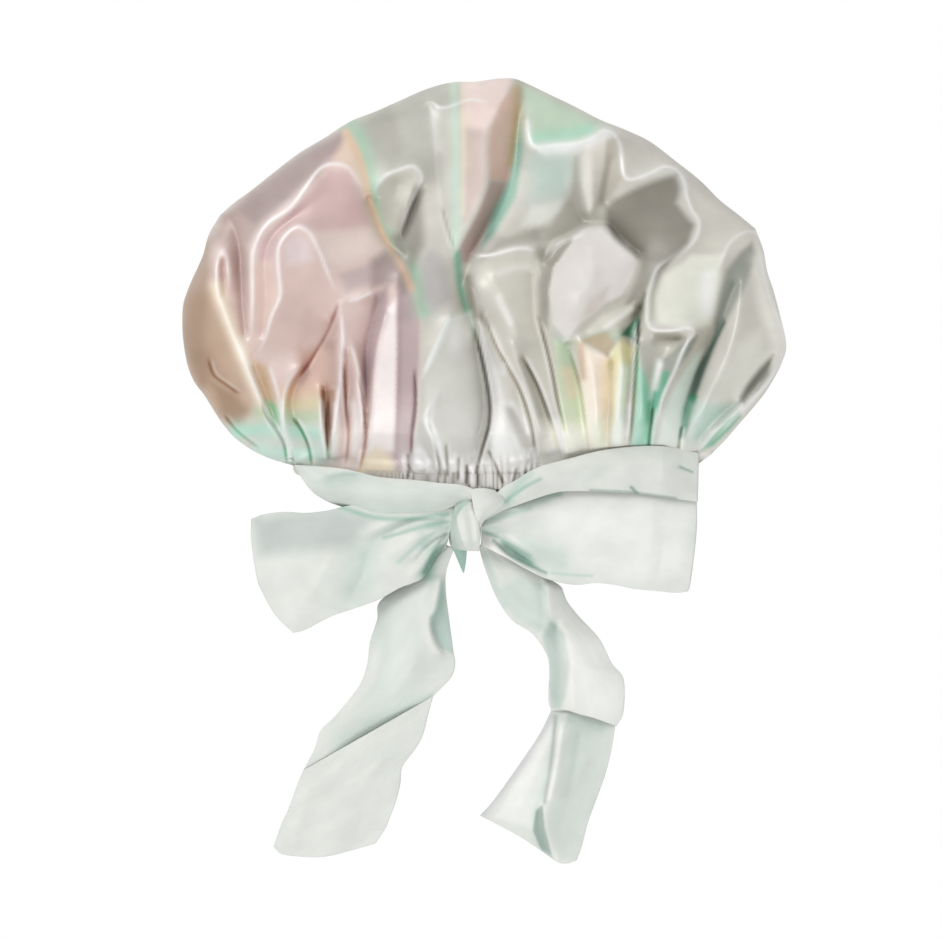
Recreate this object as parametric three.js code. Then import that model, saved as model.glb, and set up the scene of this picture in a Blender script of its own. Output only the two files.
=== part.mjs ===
import * as THREE from 'three';

// A satin bonnet lying on a table, with a ribbon sash tied in a bow in front of its mouth.
// Sizes are in millimetres. X runs across the mouth, Y from the lip to the far edge of the crown, Z up.
// The origin is on the table, under the middle of the front lip.

// Crown: one disc of satin gathered to the mouth, with a lining inside it
const crownWidth = 332;
const crownLength = 213;
const crownHeight = 56;
const crownOffset = -5.5;
const widestFromSeam = 68;
const rimHeight = 22;
const farTaper = 1.75;
const satinWall = 0.8;
const liningWall = 0.6;
const liningSlack = 4;
const gatherCount = 9;
const gatherHeight = 4;
const foldHeight = 9;
const foldBreadth = 11;

// Shares of the way from the seam to the far edge: where the crown has left the mouth's shape, where the
// gathers stand highest and where they have faded
const mouthEnd = 0.16;
const gatherPeak = 0.14;
const gatherEnd = 0.45;

// The crown's main folds as seen from above. Each has a share of the fold height, below zero for a hollow,
// and a run of places: shares of the crown's width from its middle, and of its length from the seam
const crownFolds = {
  leftLobe: { rise: 0.7, run: [[-0.385, 0.42], [-0.36, 0.615], [-0.275, 0.755], [-0.21, 0.725]] },
  innerArch: { rise: 0.7, run: [[-0.365, 0.305], [-0.34, 0.5], [-0.31, 0.61], [-0.255, 0.48]] },
  loopValley: { rise: -0.6, run: [[-0.405, 0.555], [-0.395, 0.335]] },
  widePleat: { rise: 0.7, run: [[-0.165, 0.115], [-0.145, 0.26], [-0.14, 0.495]] },
  greyLobe: { rise: 0.7, run: [[-0.18, 0.695], [-0.12, 0.755]] },
  lobeWedge: { rise: -0.8, run: [[-0.105, 0.66], [-0.125, 0.555]] },
  pinkStrip: { rise: 0.9, run: [[0.025, 0.93], [0.005, 0.8], [-0.005, 0.67], [-0.045, 0.55]] },
  longValley: { rise: -1, run: [[0.06, 0.905], [0.04, 0.73], [-0.005, 0.59], [-0.04, 0.465], [-0.02, 0.33]] },
  centreRidge: { rise: 0.6, run: [[0.02, 0.45], [0.01, 0.175]] },
  farRidge: { rise: 0.9, run: [[0.075, 0.815], [0.19, 0.85], [0.225, 0.745], [0.295, 0.765], [0.34, 0.655]] },
  wideHollow: { rise: -0.8, run: [[0.21, 0.67], [0.3, 0.595], [0.26, 0.4]] },
  paleFacet: { rise: 0.7, run: [[0.175, 0.555], [0.175, 0.48], [0.15, 0.415]] },
  peachPleat: { rise: 0.6, run: [[0.175, 0.26], [0.185, 0.065]] },
  hookedRidge: { rise: 0.7, run: [[0.28, 0.5], [0.27, 0.375], [0.335, 0.35], [0.31, 0.24], [0.28, 0.115]] },
  greenValley: { rise: -1, run: [[0.395, 0.49], [0.365, 0.36], [0.33, 0.21]] },
  rightFace: { rise: 0.5, run: [[0.44, 0.49], [0.415, 0.37], [0.395, 0.275]] },
};

// Mouth: a folded casing sewn to the crown, with a flat elastic inside it
const mouthWidth = 222;
const mouthHeight = 22;
const mouthBow = 5;
const casingPly = 0.6;
const elasticWidth = 7.5;
const elasticThick = 1;

// Ribbon: the sash round the mouth, the knot, two loops and two tails
const ribbonWidth = 62;
const ribbonThick = 0.8;
const sashDroop = 6;
const droopReach = 16;
const sashEase = 0.6;
const sashBackLength = 200;
const sashBackReach = 6;
const knotWidth = 20;
const knotLength = 30;
const knotHeight = 19;
const knotPlace = new THREE.Vector3(-16, -19, 16);
const wrapWidth = 12;
const wrapLean = 3;
const tailSpread = 9;
const loopPuff = 6;
const pleatRise = 1.2;
const pleatEnd = 0.55;
const tailRipple = 3;
const endRidge = 5;
const ridgeSharpness = 4;
const creaseGap = 0.4;

// Clearance between pieces that touch on the real bonnet
const fitGap = 0.35;

// Shapes of the sections: 2 is an ellipse, more is squarer; the base is flat where its wave passes 1
const topSquareness = 2.4;
const crownSquareness = 3.2;
const baseSquareness = 3.6;
const knotSquareness = 3;
const baseFlat = 1.09;

// How the crown rises from the mouth, how it falls to its far edge, and how late its underside curls up there
const nearRise = 0.75;
const farFall = 0.6;
const farCurl = 14;

// What follows from the sizes
const casingDepth = elasticWidth + casingPly + 2 * fitGap;
const casingThick = elasticThick + 2 * (casingPly + fitGap);
const seamY = casingDepth + mouthBow;
const mouthFloor = ribbonThick + fitGap;
const mouthTop = mouthFloor + mouthHeight;
const mouthMiddle = mouthFloor + mouthHeight / 2;
const seamTurn = Math.acos(mouthWidth / crownWidth);
const widestY = seamY + widestFromSeam;
const nearReach = widestFromSeam / Math.sin(seamTurn);
const farReach = crownLength - widestFromSeam;
const neckLevel = knotPlace.z - knotHeight / 2 - fitGap - ribbonThick / 2;
const tableLevel = ribbonThick / 2;

// How finely the surfaces are divided
const topColumns = 48;
const baseColumns = 12;
const crownRings = 25;
const knotColumns = 20;
const lastTurn = THREE.MathUtils.degToRad(83);

const { lerp, smoothstep, degToRad } = THREE.MathUtils;

const satin = new THREE.MeshStandardMaterial({ color: 0xdcd3d2, roughness: 0.28, metalness: 0 });
const lining = new THREE.MeshStandardMaterial({ color: 0xe6e2de, roughness: 0.35, metalness: 0 });
const elastic = new THREE.MeshStandardMaterial({ color: 0xf2f0ec, roughness: 0.8, metalness: 0 });
const crepe = new THREE.MeshStandardMaterial({ color: 0xdfe9e4, roughness: 0.75, metalness: 0 });

// One coordinate of a superellipse, for the sine or cosine of its angle
function rounded(wave, squareness) {
  return Math.sign(wave) * Math.abs(wave) ** (2 / squareness);
}

// A mesh from rows of points; closed rows or columns join their ends, and poles cap the first and last row
function meshFromRows(name, material, rows, { closedRows, closedColumns, poles = [] }) {
  const points = [...rows.flat(), ...poles];
  const count = rows[0].length;
  const faces = [];
  const at = (row, column) => (row % rows.length) * count + (column % count);
  const lastRow = closedColumns ? rows.length : rows.length - 1;
  const lastColumn = closedRows ? count : count - 1;
  for (let row = 0; row < lastRow; row += 1) {
    for (let column = 0; column < lastColumn; column += 1) {
      const [a, b] = [at(row, column), at(row, column + 1)];
      const [c, d] = [at(row + 1, column + 1), at(row + 1, column)];
      faces.push([a, b, c], [a, c, d]);
    }
  }
  const firstPole = rows.length * count;
  for (let column = 0; poles.length > 0 && column < count; column += 1) {
    faces.push([firstPole, at(0, column + 1), at(0, column)]);
    faces.push([firstPole + 1, at(rows.length - 1, column), at(rows.length - 1, column + 1)]);
  }
  return facingOut(name, material, points, faces);
}

// A named mesh whose faces are turned outwards if its volume came out negative
function facingOut(name, material, points, faces) {
  const cross = new THREE.Vector3();
  const corner = ([a, b, c]) => cross.crossVectors(points[a], points[b]).dot(points[c]);
  const volume = faces.reduce((sum, face) => sum + corner(face), 0);
  const turned = volume < 0 ? faces.map(([a, b, c]) => [a, c, b]) : faces;
  const geometry = new THREE.BufferGeometry().setFromPoints(points);
  geometry.setIndex(turned.flat());
  geometry.computeVertexNormals();
  const mesh = new THREE.Mesh(geometry, material);
  mesh.name = name;
  return mesh;
}

// A length of cloth: pointAt(along, across) is the middle of its thickness, and each row is closed round its
// two edges
function clothSolid(name, material, pointAt, thickness, alongSteps, acrossSteps) {
  const nudge = 0.004;
  const sides = (along, across) => {
    const ahead = pointAt(Math.min(along + nudge, 1), across);
    const behind = pointAt(Math.max(along - nudge, 0), across);
    const right = pointAt(along, Math.min(across + nudge, 1));
    const left = pointAt(along, Math.max(across - nudge, 0));
    const normal = ahead.sub(behind).cross(right.sub(left)).normalize();
    const middle = pointAt(along, across);
    return [1, -1].map((side) => middle.clone().addScaledVector(normal, (side * thickness) / 2));
  };
  const rows = [];
  for (let row = 0; row <= alongSteps; row += 1) {
    const pairs = [];
    for (let column = 0; column <= acrossSteps; column += 1) {
      pairs.push(sides(row / alongSteps, column / acrossSteps));
    }
    rows.push([...pairs.map((pair) => pair[0]), ...pairs.map((pair) => pair[1]).reverse()]);
  }
  return endCapped(name, material, rows, acrossSteps + 1);
}

// Closed rows of a cloth with a flat strip of faces across its first and last row
function endCapped(name, material, rows, width) {
  const count = rows[0].length;
  const faces = [];
  for (let row = 0; row < rows.length - 1; row += 1) {
    for (let column = 0; column < count; column += 1) {
      const next = (column + 1) % count;
      const [a, b] = [row * count + column, row * count + next];
      faces.push([a, b, b + count], [a, b + count, a + count]);
    }
  }
  const last = (rows.length - 1) * count;
  for (let column = 0; column < width - 1; column += 1) {
    const [a, b, c, d] = [column, column + 1, count - 2 - column, count - 1 - column];
    faces.push([a, c, b], [a, d, c]);
    faces.push([last + a, last + b, last + c], [last + a, last + c, last + d]);
  }
  return facingOut(name, material, rows.flat(), faces);
}

// The angles round a ring: more columns on the gathered top than on the underside that lies on the table,
// and on top about evenly spaced across it
function ringAngles(topSteps, baseSteps) {
  const across = (share) => lerp(1 - 2 * share, Math.cos(Math.PI * share), 0.5);
  const angleOf = (side) => Math.acos(Math.sign(side) * Math.abs(side) ** (topSquareness / 2));
  const top = Array.from({ length: topSteps }, (_, step) => angleOf(across(step / topSteps)));
  const base = Array.from({ length: baseSteps }, (_, step) => Math.PI * (1 + step / baseSteps));
  return [...top, ...base];
}

// A point on a flattened ring: domed above its rim and flat below it
function ringPoint(angle, { middle, halfWidth, rim, top, base, crowned = topSquareness }) {
  const above = Math.sin(angle) >= 0;
  const squareness = above ? crowned : baseSquareness;
  const across = rounded(Math.cos(angle), squareness);
  const upward = rounded(Math.sin(angle), squareness);
  const height = above ? (top - rim) * upward : (rim - base) * Math.max(upward * baseFlat, -1);
  return new THREE.Vector3(middle + halfWidth * across, 0, rim + height);
}

// How far the mouth's front and back bow away from the crown at an angle round the ring
function bowAt(angle) {
  return mouthBow * Math.abs(Math.sin(angle));
}

// A point on the mouth, inset from its outside and forward of the seam
function mouthPoint(angle, inset, forward) {
  const point = ringPoint(angle, {
    middle: 0,
    halfWidth: mouthWidth / 2 - inset,
    rim: mouthMiddle,
    top: mouthTop - inset,
    base: mouthFloor + inset,
  });
  point.y = seamY - bowAt(angle) - forward;
  return point;
}

// The height of the crown's folds over a place: each fold dies away from its run as a bell curve
function foldAt(place) {
  const onCrown = ([across, along]) => new THREE.Vector3(
    crownOffset + across * crownWidth,
    seamY + along * crownLength,
    0,
  );
  const flat = new THREE.Vector3(place.x, place.y, 0);
  return Object.values(crownFolds).reduce((height, { rise, run }) => {
    const corners = run.map(onCrown);
    const legs = corners.slice(1).map((corner, leg) => new THREE.Line3(corners[leg], corner));
    const away = legs.map((leg) => leg.closestPointToPoint(flat, true, new THREE.Vector3()).distanceTo(flat));
    return height + rise * foldHeight * Math.exp(-((Math.min(...away) / foldBreadth) ** 2));
  }, 0);
}

// The crown's ring at a turn from the seam, past its widest line at 0, to the far edge at a right angle
function crownRing(turn, inset, slack, angles) {
  const share = (turn + seamTurn) / (seamTurn + Math.PI / 2);
  const leaving = smoothstep(share, 0, mouthEnd);
  const far = turn > 0;
  const near = Math.sin((Math.PI / 2) * Math.max(1 + turn / seamTurn, 0)) ** nearRise;
  const domed = far ? Math.cos(turn) ** farFall : near;
  const rim = lerp(mouthMiddle, rimHeight, leaving);
  const lift = far ? rimHeight * Math.sin(turn) ** farCurl : mouthFloor * (1 - leaving);
  const ring = {
    middle: crownOffset * leaving,
    halfWidth: (crownWidth / 2) * Math.cos(turn) ** (far ? 2 / farTaper : 1) - inset,
    rim,
    top: lerp(far ? rimHeight : mouthTop, crownHeight, domed) - inset - slack * leaving * domed,
    base: lift + inset,
    crowned: lerp(topSquareness, crownSquareness, leaving),
  };
  const reach = far ? farReach * Math.sin(turn) ** (2 / farTaper) : nearReach * Math.sin(turn);
  const along = widestY + reach - inset * Math.sin(turn) * (far ? 1 : leaving);
  const gathered = smoothstep(share, 0, gatherPeak) * (1 - smoothstep(share, gatherPeak, gatherEnd));
  const folded = smoothstep(share, 0, mouthEnd) * (1 - smoothstep(share, 0.9, 1));
  return angles.map((angle) => {
    const point = ringPoint(angle, ring);
    point.y = along + fitGap * (1 - leaving) - bowAt(angle) * (1 - share) ** 3;
    if (angle < Math.PI) {
      const wave = 0.5 - 0.5 * Math.cos(2 * gatherCount * angle + Math.sin(3 * angle));
      point.z += gatherHeight * gathered * wave * Math.sin(angle) ** 2;
      point.z += foldAt(point) * folded * smoothstep(Math.sin(angle), 0, 0.6);
    }
    return point;
  });
}

// A bag of cloth with an outside, an inside and a rim at the mouth
function crownShell(name, material, outset, wall, slack, angles) {
  const turnOf = (ring) => lerp(lastTurn, -seamTurn, ring / (crownRings - 1));
  const turns = Array.from({ length: crownRings }, (_, ring) => turnOf(ring));
  const outside = turns.map((turn) => crownRing(turn, outset, slack, angles));
  const inside = turns.map((turn) => crownRing(turn, outset + wall, slack, angles));
  const farEdge = (inset) => new THREE.Vector3(crownOffset, seamY + crownLength - inset, rimHeight);
  return meshFromRows(name, material, [...outside, ...inside.reverse()], {
    closedRows: true,
    closedColumns: false,
    poles: [farEdge(outset), farEdge(outset + wall)],
  });
}

// A closed section carried round the mouth; each corner is an inset and a distance forward of the seam
function mouthBand(name, material, corners, angles) {
  const rows = corners.map(([inset, forward]) => angles.map((angle) => mouthPoint(angle, inset, forward)));
  return meshFromRows(name, material, rows, { closedRows: true, closedColumns: true });
}

// A smooth run through stations; each station lists the values that change along a ribbon
function runThrough(stations) {
  const curve = (first) => new THREE.CatmullRomCurve3(
    stations.map((station) => new THREE.Vector3(...[0, 1, 2].map((step) => station[first + step] ?? 0))),
  );
  const [place, form] = [curve(0), curve(3)];
  return (along) => ({ place: place.getPoint(along), form: form.getPoint(along) });
}

// A strip whose rows lie across it; a station is x, y, z, the row's share of the ribbon's width and its
// slant in degrees
function stripPoint(run, along, across) {
  const { place, form } = run(along);
  const half = (across - 0.5) * ribbonWidth * form.x;
  const slant = degToRad(form.y);
  return new THREE.Vector3(place.x + half * Math.cos(slant), place.y + half * Math.sin(slant), place.z);
}

// One side of the sash: it lies on the casing and droops past the lip; a station is an angle round the mouth
// in half turns, the front edge in Y and how far the back edge stays in front of the seam
function sash(name, stations) {
  const run = runThrough(stations);
  const level = -(sashEase + ribbonThick / 2);
  const pointAt = (along, across) => {
    const { place } = run(along);
    const point = mouthPoint(place.x * Math.PI, level, 0);
    point.y = lerp(place.y, point.y - place.z, across);
    const beyond = Math.max(-point.y, 0) / droopReach;
    point.z -= sashDroop * beyond ** 2 * Math.max(Math.sin(place.x * Math.PI), 0);
    return point;
  };
  return clothSolid(name, crepe, pointAt, ribbonThick, 20, 4);
}

// The sash's length behind the mouth: a flat strip on the table
function sashBack(name, halfLength, front, back) {
  const outline = new THREE.Shape();
  outline.moveTo(-halfLength, front);
  outline.lineTo(halfLength, front);
  outline.lineTo(halfLength, back);
  outline.lineTo(-halfLength, back);
  const geometry = new THREE.ExtrudeGeometry(outline, { depth: ribbonThick, bevelEnabled: false });
  const mesh = new THREE.Mesh(geometry, crepe);
  mesh.name = name;
  return mesh;
}

// A point on the knot's outside, grown by an offset
function knotPoint(turn, along, offset) {
  const closing = (1 - Math.abs(along) ** knotSquareness) ** (1 / knotSquareness);
  return new THREE.Vector3(
    knotPlace.x + (knotWidth / 2 + offset) * closing * rounded(Math.cos(turn), knotSquareness),
    knotPlace.y + (knotLength / 2 + offset) * along,
    knotPlace.z + (knotHeight / 2 + offset) * closing * rounded(Math.sin(turn), knotSquareness),
  );
}

// The lump of ribbon inside the knot
function knotCore(name) {
  const turns = Array.from({ length: knotColumns }, (_, step) => (2 * Math.PI * step) / knotColumns);
  const places = [-0.96, -0.8, -0.45, 0, 0.45, 0.8, 0.96];
  const rows = places.map((along) => turns.map((turn) => knotPoint(turn, along, 0)));
  return meshFromRows(name, crepe, rows, {
    closedRows: true,
    closedColumns: false,
    poles: [knotPoint(0, -1, 0), knotPoint(0, 1, 0)],
  });
}

// The turn of ribbon over the knot, from its front end over the top to its back end
function knotWrap(name) {
  const offset = fitGap + ribbonThick / 2;
  const pointAt = (along, across) => {
    const turn = Math.PI * lerp(-0.1, 1.1, along);
    const side = (across - 0.5) * wrapWidth - wrapLean * Math.cos(turn);
    const closing = (1 - Math.abs((2 * side) / knotWidth) ** knotSquareness) ** (1 / knotSquareness);
    return new THREE.Vector3(
      knotPlace.x + side,
      knotPlace.y - (knotLength / 2 + offset) * rounded(Math.cos(turn), knotSquareness),
      knotPlace.z + (knotHeight / 2 + offset) * rounded(Math.sin(turn), knotSquareness) * closing,
    );
  };
  return clothSolid(name, crepe, pointAt, ribbonThick, 16, 4);
}

// A bow loop: out from the knot on top, round its end and back underneath, pleated at the knot
function bowLoop(name, stations, pleats) {
  const run = runThrough(stations);
  const pointAt = (along, across) => {
    const out = 1 - Math.abs(2 * along - 1);
    const reached = 1 - (1 - out) ** 1.8;
    const point = stripPoint(run, reached, across);
    const apart = lerp(0.5, 1, smoothstep(reached, 0, 0.5)) * loopPuff * Math.sqrt(1 - reached ** 6);
    const pleated = pleatRise * (1 - smoothstep(reached, 0, pleatEnd));
    const pleat = pleated * Math.cos(2 * Math.PI * pleats * across);
    point.z += Math.sign(0.5 - along) * apart + pleat;
    return point;
  };
  return clothSolid(name, crepe, pointAt, ribbonThick, 22, 8);
}

// A length of a tail; ripple(along, across) lifts it off the table, and endBow rounds the cut end
function tail(name, stations, ripple, endBow = 0) {
  const run = runThrough(stations);
  const pointAt = (along, across) => {
    const point = stripPoint(run, along, across);
    point.z += ripple(along, across);
    point.y -= endBow * along ** 4 * (1 - (2 * across - 1) ** 2);
    return point;
  };
  return clothSolid(name, crepe, pointAt, ribbonThick, 12, 6);
}

// The first station past a crease: the crease moved on by the gap between the two lengths
function pastCrease([x, y, z, share, slant]) {
  const turn = degToRad(slant);
  return [x + creaseGap * Math.sin(turn), y - creaseGap * Math.cos(turn), z, share, slant];
}

const angles = ringAngles(topColumns, baseColumns);

const bonnet = new THREE.Group();
const liningInset = casingThick - liningWall;
bonnet.add(crownShell('crown_outer', satin, 0, satinWall, 0, angles));
bonnet.add(crownShell('crown_lining', lining, liningInset, liningWall, liningSlack, angles));

const channelInset = casingThick - casingPly;
const channelDepth = casingDepth - casingPly;
const casingCorners = [
  [0, 0],
  [0, casingDepth],
  [casingThick, casingDepth],
  [casingThick, 0],
  [channelInset, 0],
  [channelInset, channelDepth],
  [casingPly, channelDepth],
  [casingPly, 0],
];
const elasticInset = casingPly + fitGap;
const elasticCorners = [
  [elasticInset, fitGap],
  [elasticInset, fitGap + elasticWidth],
  [elasticInset + elasticThick, fitGap + elasticWidth],
  [elasticInset + elasticThick, fitGap],
];
bonnet.add(mouthBand('mouth_casing', satin, casingCorners, angles));
bonnet.add(mouthBand('mouth_elastic', elastic, elasticCorners, angles));

// Sash, from behind the mouth round each of its ends to the knot
bonnet.add(sash('sash_left', [
  [1.22, 7, 2],
  [1, 10, 1.5],
  [0.9, 6, 1],
  [0.8, -4.4, 1],
  [0.7, -14, 1],
  [0.6, -15, 1],
  [0.56, -15, 5],
]));
bonnet.add(sash('sash_right', [
  [-0.22, -5, 2],
  [0, -5.5, 1.5],
  [0.1, -5.5, 1],
  [0.2, -4.5, 1],
  [0.3, -0.5, 1],
  [0.4, -0.5, 1],
  [0.45, -4, 3],
  [0.503, -14, 15],
]));
bonnet.add(sashBack('sash_back', sashBackLength / 2, -sashBackReach, seamY - mouthBow));

// Knot and loops
const knotLeft = knotPlace.x - knotWidth / 2 - fitGap;
const knotRight = knotPlace.x + knotWidth / 2 + fitGap;
bonnet.add(knotCore('knot_core'));
bonnet.add(knotWrap('knot_wrap'));
bonnet.add(bowLoop('bow_loop_left', [
  [knotLeft, -28, 13, 0.34, 90],
  [-55, -38.6, 13, 0.62, 90],
  [-86, -41, 12, 0.9, 92],
  [-124, -46, 10, 1, 105],
], 3));
bonnet.add(bowLoop('bow_loop_right', [
  [knotRight, -24, 13, 0.22, 90],
  [30, -25, 13, 0.68, 90],
  [68, -27, 12, 0.8, 90],
  [109, -32, 10, 0.83, 86],
], 3));

// Tails: from under the knot to a crease, and from the crease to the cut end
const leftCrease = [-70.5, -134.8, tableLevel, 1.38, 30.8];
const rightCrease = [48.5, -125.5, tableLevel, 0.67, -11];
const neckY = knotPlace.y - knotLength / 6;
const swell = (share) => Math.sin(Math.PI * share) ** 2;
const midRipple = (along, across) => tailRipple * swell(along) * swell(across);
const sharpSwell = (share) => swell(share) ** ridgeSharpness;
const ridged = (along, across) => endRidge * swell(Math.min(along, 0.5)) * sharpSwell(across);
bonnet.add(tail('tail_left_upper', [
  [knotPlace.x - tailSpread / 2, neckY, neckLevel, 0.08, 0],
  [-34, -47, 3, 0.32, 10],
  [-46, -71, tableLevel, 0.62, 8],
  [-54, -102, tableLevel, 0.98, 20],
  leftCrease,
], midRipple));
bonnet.add(tail('tail_left_end', [
  pastCrease(leftCrease),
  [-76, -151, tableLevel, 1.18, 22],
  [-84, -173, tableLevel, 1.02, 12],
  [-93.5, -198, tableLevel, 0.89, 0],
], midRipple, 5));
bonnet.add(tail('tail_right_upper', [
  [knotPlace.x + tailSpread / 2, neckY, neckLevel, 0.08, 0],
  [8, -47, 3, 0.37, -4],
  [27.5, -71.5, tableLevel, 0.54, 8],
  [45, -96, tableLevel, 0.56, 0],
  rightCrease,
], midRipple));
bonnet.add(tail('tail_right_end', [
  pastCrease(rightCrease),
  [41.3, -147, tableLevel, 0.74, -17],
  [32, -167, tableLevel, 0.86, -16],
  [19.2, -192.5, tableLevel, 0.92, -25],
], ridged));

export default bonnet;
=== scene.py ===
"""Dresses a satin bonnet lying on a table: a gathered crown, a ruched mouth and a ribbon sash tied in a bow.

Lengths in this file are millimetres in the part's frame, and meshes are written in metres. Fold lines, the
cloth's colours, painted shade and painted highlights are placed by photograph pixels, which PhotoView turns
into places on the table.
"""

from __future__ import annotations

import logging
import math
from dataclasses import dataclass, field
from enum import Enum

import bpy
import numpy as np
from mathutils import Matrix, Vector

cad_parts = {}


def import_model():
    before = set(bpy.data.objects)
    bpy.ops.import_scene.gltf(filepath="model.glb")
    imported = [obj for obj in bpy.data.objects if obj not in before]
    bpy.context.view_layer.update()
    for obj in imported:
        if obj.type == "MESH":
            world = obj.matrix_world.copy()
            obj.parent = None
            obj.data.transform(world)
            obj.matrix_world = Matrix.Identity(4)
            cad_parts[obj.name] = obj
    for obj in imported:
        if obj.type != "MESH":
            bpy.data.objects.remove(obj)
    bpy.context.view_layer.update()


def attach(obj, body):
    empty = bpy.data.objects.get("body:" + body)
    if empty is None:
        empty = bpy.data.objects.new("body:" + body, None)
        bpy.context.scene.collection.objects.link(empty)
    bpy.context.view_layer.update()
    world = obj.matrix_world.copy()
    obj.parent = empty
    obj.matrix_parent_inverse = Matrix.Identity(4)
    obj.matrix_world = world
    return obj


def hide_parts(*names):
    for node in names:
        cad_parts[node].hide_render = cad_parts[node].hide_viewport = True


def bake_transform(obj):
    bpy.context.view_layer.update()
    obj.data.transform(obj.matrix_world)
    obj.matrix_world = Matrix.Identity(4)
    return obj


LOG = logging.getLogger("bonnet")
MM = 0.001
Array = np.ndarray
Track = tuple[Array, Array]
Pixels = tuple[tuple[float, float], ...]
Colour = tuple[float, float, float]
Place = tuple[float, float, float]

CURVE_SAMPLES = 40
CHUNK = 64
FEWEST_SAMPLES = 4
TINY = 1e-9
NARROW = 1e-3
LAP_GAP = 1.8
GROOVE_MARGIN = 4.0
COARSENESS = (8, 4, 2, 1)
LAST_CELL = 1.001
BELL_HALF = 3
BELL_SHOWN = 2.5
MARK_SPACING = 0.5
TAPER = 0.17
OUTLINE_STEPS = 24


class Body(Enum):
    """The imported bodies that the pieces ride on."""

    BONNET = "bonnet"
    LOOP_LEFT = "loop_left"
    LOOP_RIGHT = "loop_right"
    TAIL_LEFT = "tail_left"
    TAIL_LEFT_TIP = "tail_left_tip"
    TAIL_RIGHT = "tail_right"
    TAIL_RIGHT_TIP = "tail_right_tip"


class Slot(Enum):
    """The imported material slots."""

    SATIN = "satin"
    LINING = "lining"
    ELASTIC = "elastic"
    RIBBON = "ribbon"


class Hold(Enum):
    """How a sheet of cloth is held."""

    GATHERED = "gathered"
    FOLDED = "folded"
    LAID = "laid"


class Side(Enum):
    """A side of a line as it runs."""

    LEFT = -1
    RIGHT = 1


class Lip(Enum):
    """The two lips of the mouth: above its middle and below it."""

    UPPER = 1
    LOWER = -1


def linear(colour: Colour) -> Array:
    """Turns a display colour from 0 to 255 into linear light from 0 to 1, by the sRGB curve."""
    share = np.asarray(colour, float) / 255.0
    return np.where(share <= 0.04045, share / 12.92, ((share + 0.055) / 1.055) ** 2.4)


def rgba(colour: Colour) -> tuple[float, float, float, float]:
    """A display colour as the four values of a shader socket."""
    return (*linear(colour), 1.0)


def ease(low: float, high: float, value: Array) -> Array:
    """Goes smoothly from 0 at low to 1 at high, as 3t2 - 2t3."""
    share = np.clip((value - low) / (high - low), 0.0, 1.0)
    return share * share * (3.0 - 2.0 * share)


def curve_through(points: Array, shares: Array) -> Array:
    """Places points on a smooth curve at shares of its length.

    Between two given points the curve is a Catmull-Rom cubic: its slope at a point is half the step between
    that point's neighbours.

    Args:
        points: the points that the curve passes, one a row.
        shares: shares of the curve's length, from 0 to 1.

    Returns:
        One row for each share.
    """
    known = np.asarray(points, float)
    ends = (2 * known[:1] - known[1:2], known, 2 * known[-1:] - known[-2:-1])
    padded = np.concatenate(ends)
    fine = np.linspace(0, len(known) - 1, CURVE_SAMPLES * len(known))
    piece = np.minimum(fine.astype(int), len(known) - 2)
    t = (fine - piece)[:, None]
    a, b, c, d = (padded[piece + step] for step in range(4))
    cubic = (3 * b - a - 3 * c + d) * t**3 + (2 * a - 5 * b + 4 * c - d) * t**2
    dense = 0.5 * (cubic + (c - a) * t + 2 * b)
    steps = np.linalg.norm(np.diff(dense, axis=0), axis=1)
    length = np.concatenate([[0.0], np.cumsum(steps)])
    wanted = np.asarray(shares) * length[-1]
    return np.stack([np.interp(wanted, length, column) for column in dense.T], axis=1)


def span_between(bottom: Array, top: Array, left: Array, right: Array, u: Array, v: Array) -> Array:
    """Fills the area between four curves: the two ruled surfaces added, less the one through the corners.

    Args:
        bottom: points of the lower curve at the shares u.
        top: points of the upper curve at the shares u.
        left: points of the left curve at the shares v.
        right: points of the right curve at the shares v.
        u: shares across.
        v: shares upward.

    Returns:
        A grid of points, with a row for each v and a column for each u.
    """
    across = u[None, :, None]
    upward = v[:, None, None]
    ruled_up = (1 - upward) * bottom[None] + upward * top[None]
    ruled_across = (1 - across) * left[:, None] + across * right[:, None]
    low = (1 - across) * bottom[0] + across * bottom[-1]
    high = (1 - across) * top[0] + across * top[-1]
    return ruled_up + ruled_across - (1 - upward) * low - upward * high


def distance_to(path: Array, points: Array) -> Array:
    """The distance from each point of a grid to the nearest sample of a path."""
    flat = points.reshape(-1, 2)
    nearest = np.full(len(flat), np.inf)
    for start in range(0, len(path), CHUNK):
        part = path[start : start + CHUNK]
        gap = flat[:, None] - part[None]
        nearest = np.minimum(nearest, np.einsum("ijk,ijk->ij", gap, gap).min(axis=1))
    return np.sqrt(nearest).reshape(points.shape[:-1])


def along_line(path: Array, points: Array) -> tuple[Array, Array]:
    """Finds the nearest sample of a path for each point.

    Args:
        path: samples of the line.
        points: X and Y of each point, one a row.

    Returns:
        The distance to the line, and the share of the line's length at that sample.
    """
    nearest = np.full(len(points), np.inf)
    place = np.zeros(len(points))
    for start in range(0, len(path), CHUNK):
        gap = points[:, None] - path[None, start : start + CHUNK]
        square = np.einsum("ijk,ijk->ij", gap, gap)
        best = square.argmin(axis=1)
        least = square[np.arange(len(points)), best]
        closer = least < nearest
        nearest[closer] = least[closer]
        place[closer] = start + best[closer]
    return np.sqrt(nearest), place / max(len(path) - 1, 1)


def beside(track: Array, gap: float) -> Array:
    """Moves a line sideways, to its right as it runs where the gap is above zero."""
    heading = np.gradient(track, axis=0)
    heading /= np.linalg.norm(heading, axis=1, keepdims=True) + TINY
    return track + gap * np.stack([heading[:, 1], -heading[:, 0]], axis=1)


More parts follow.
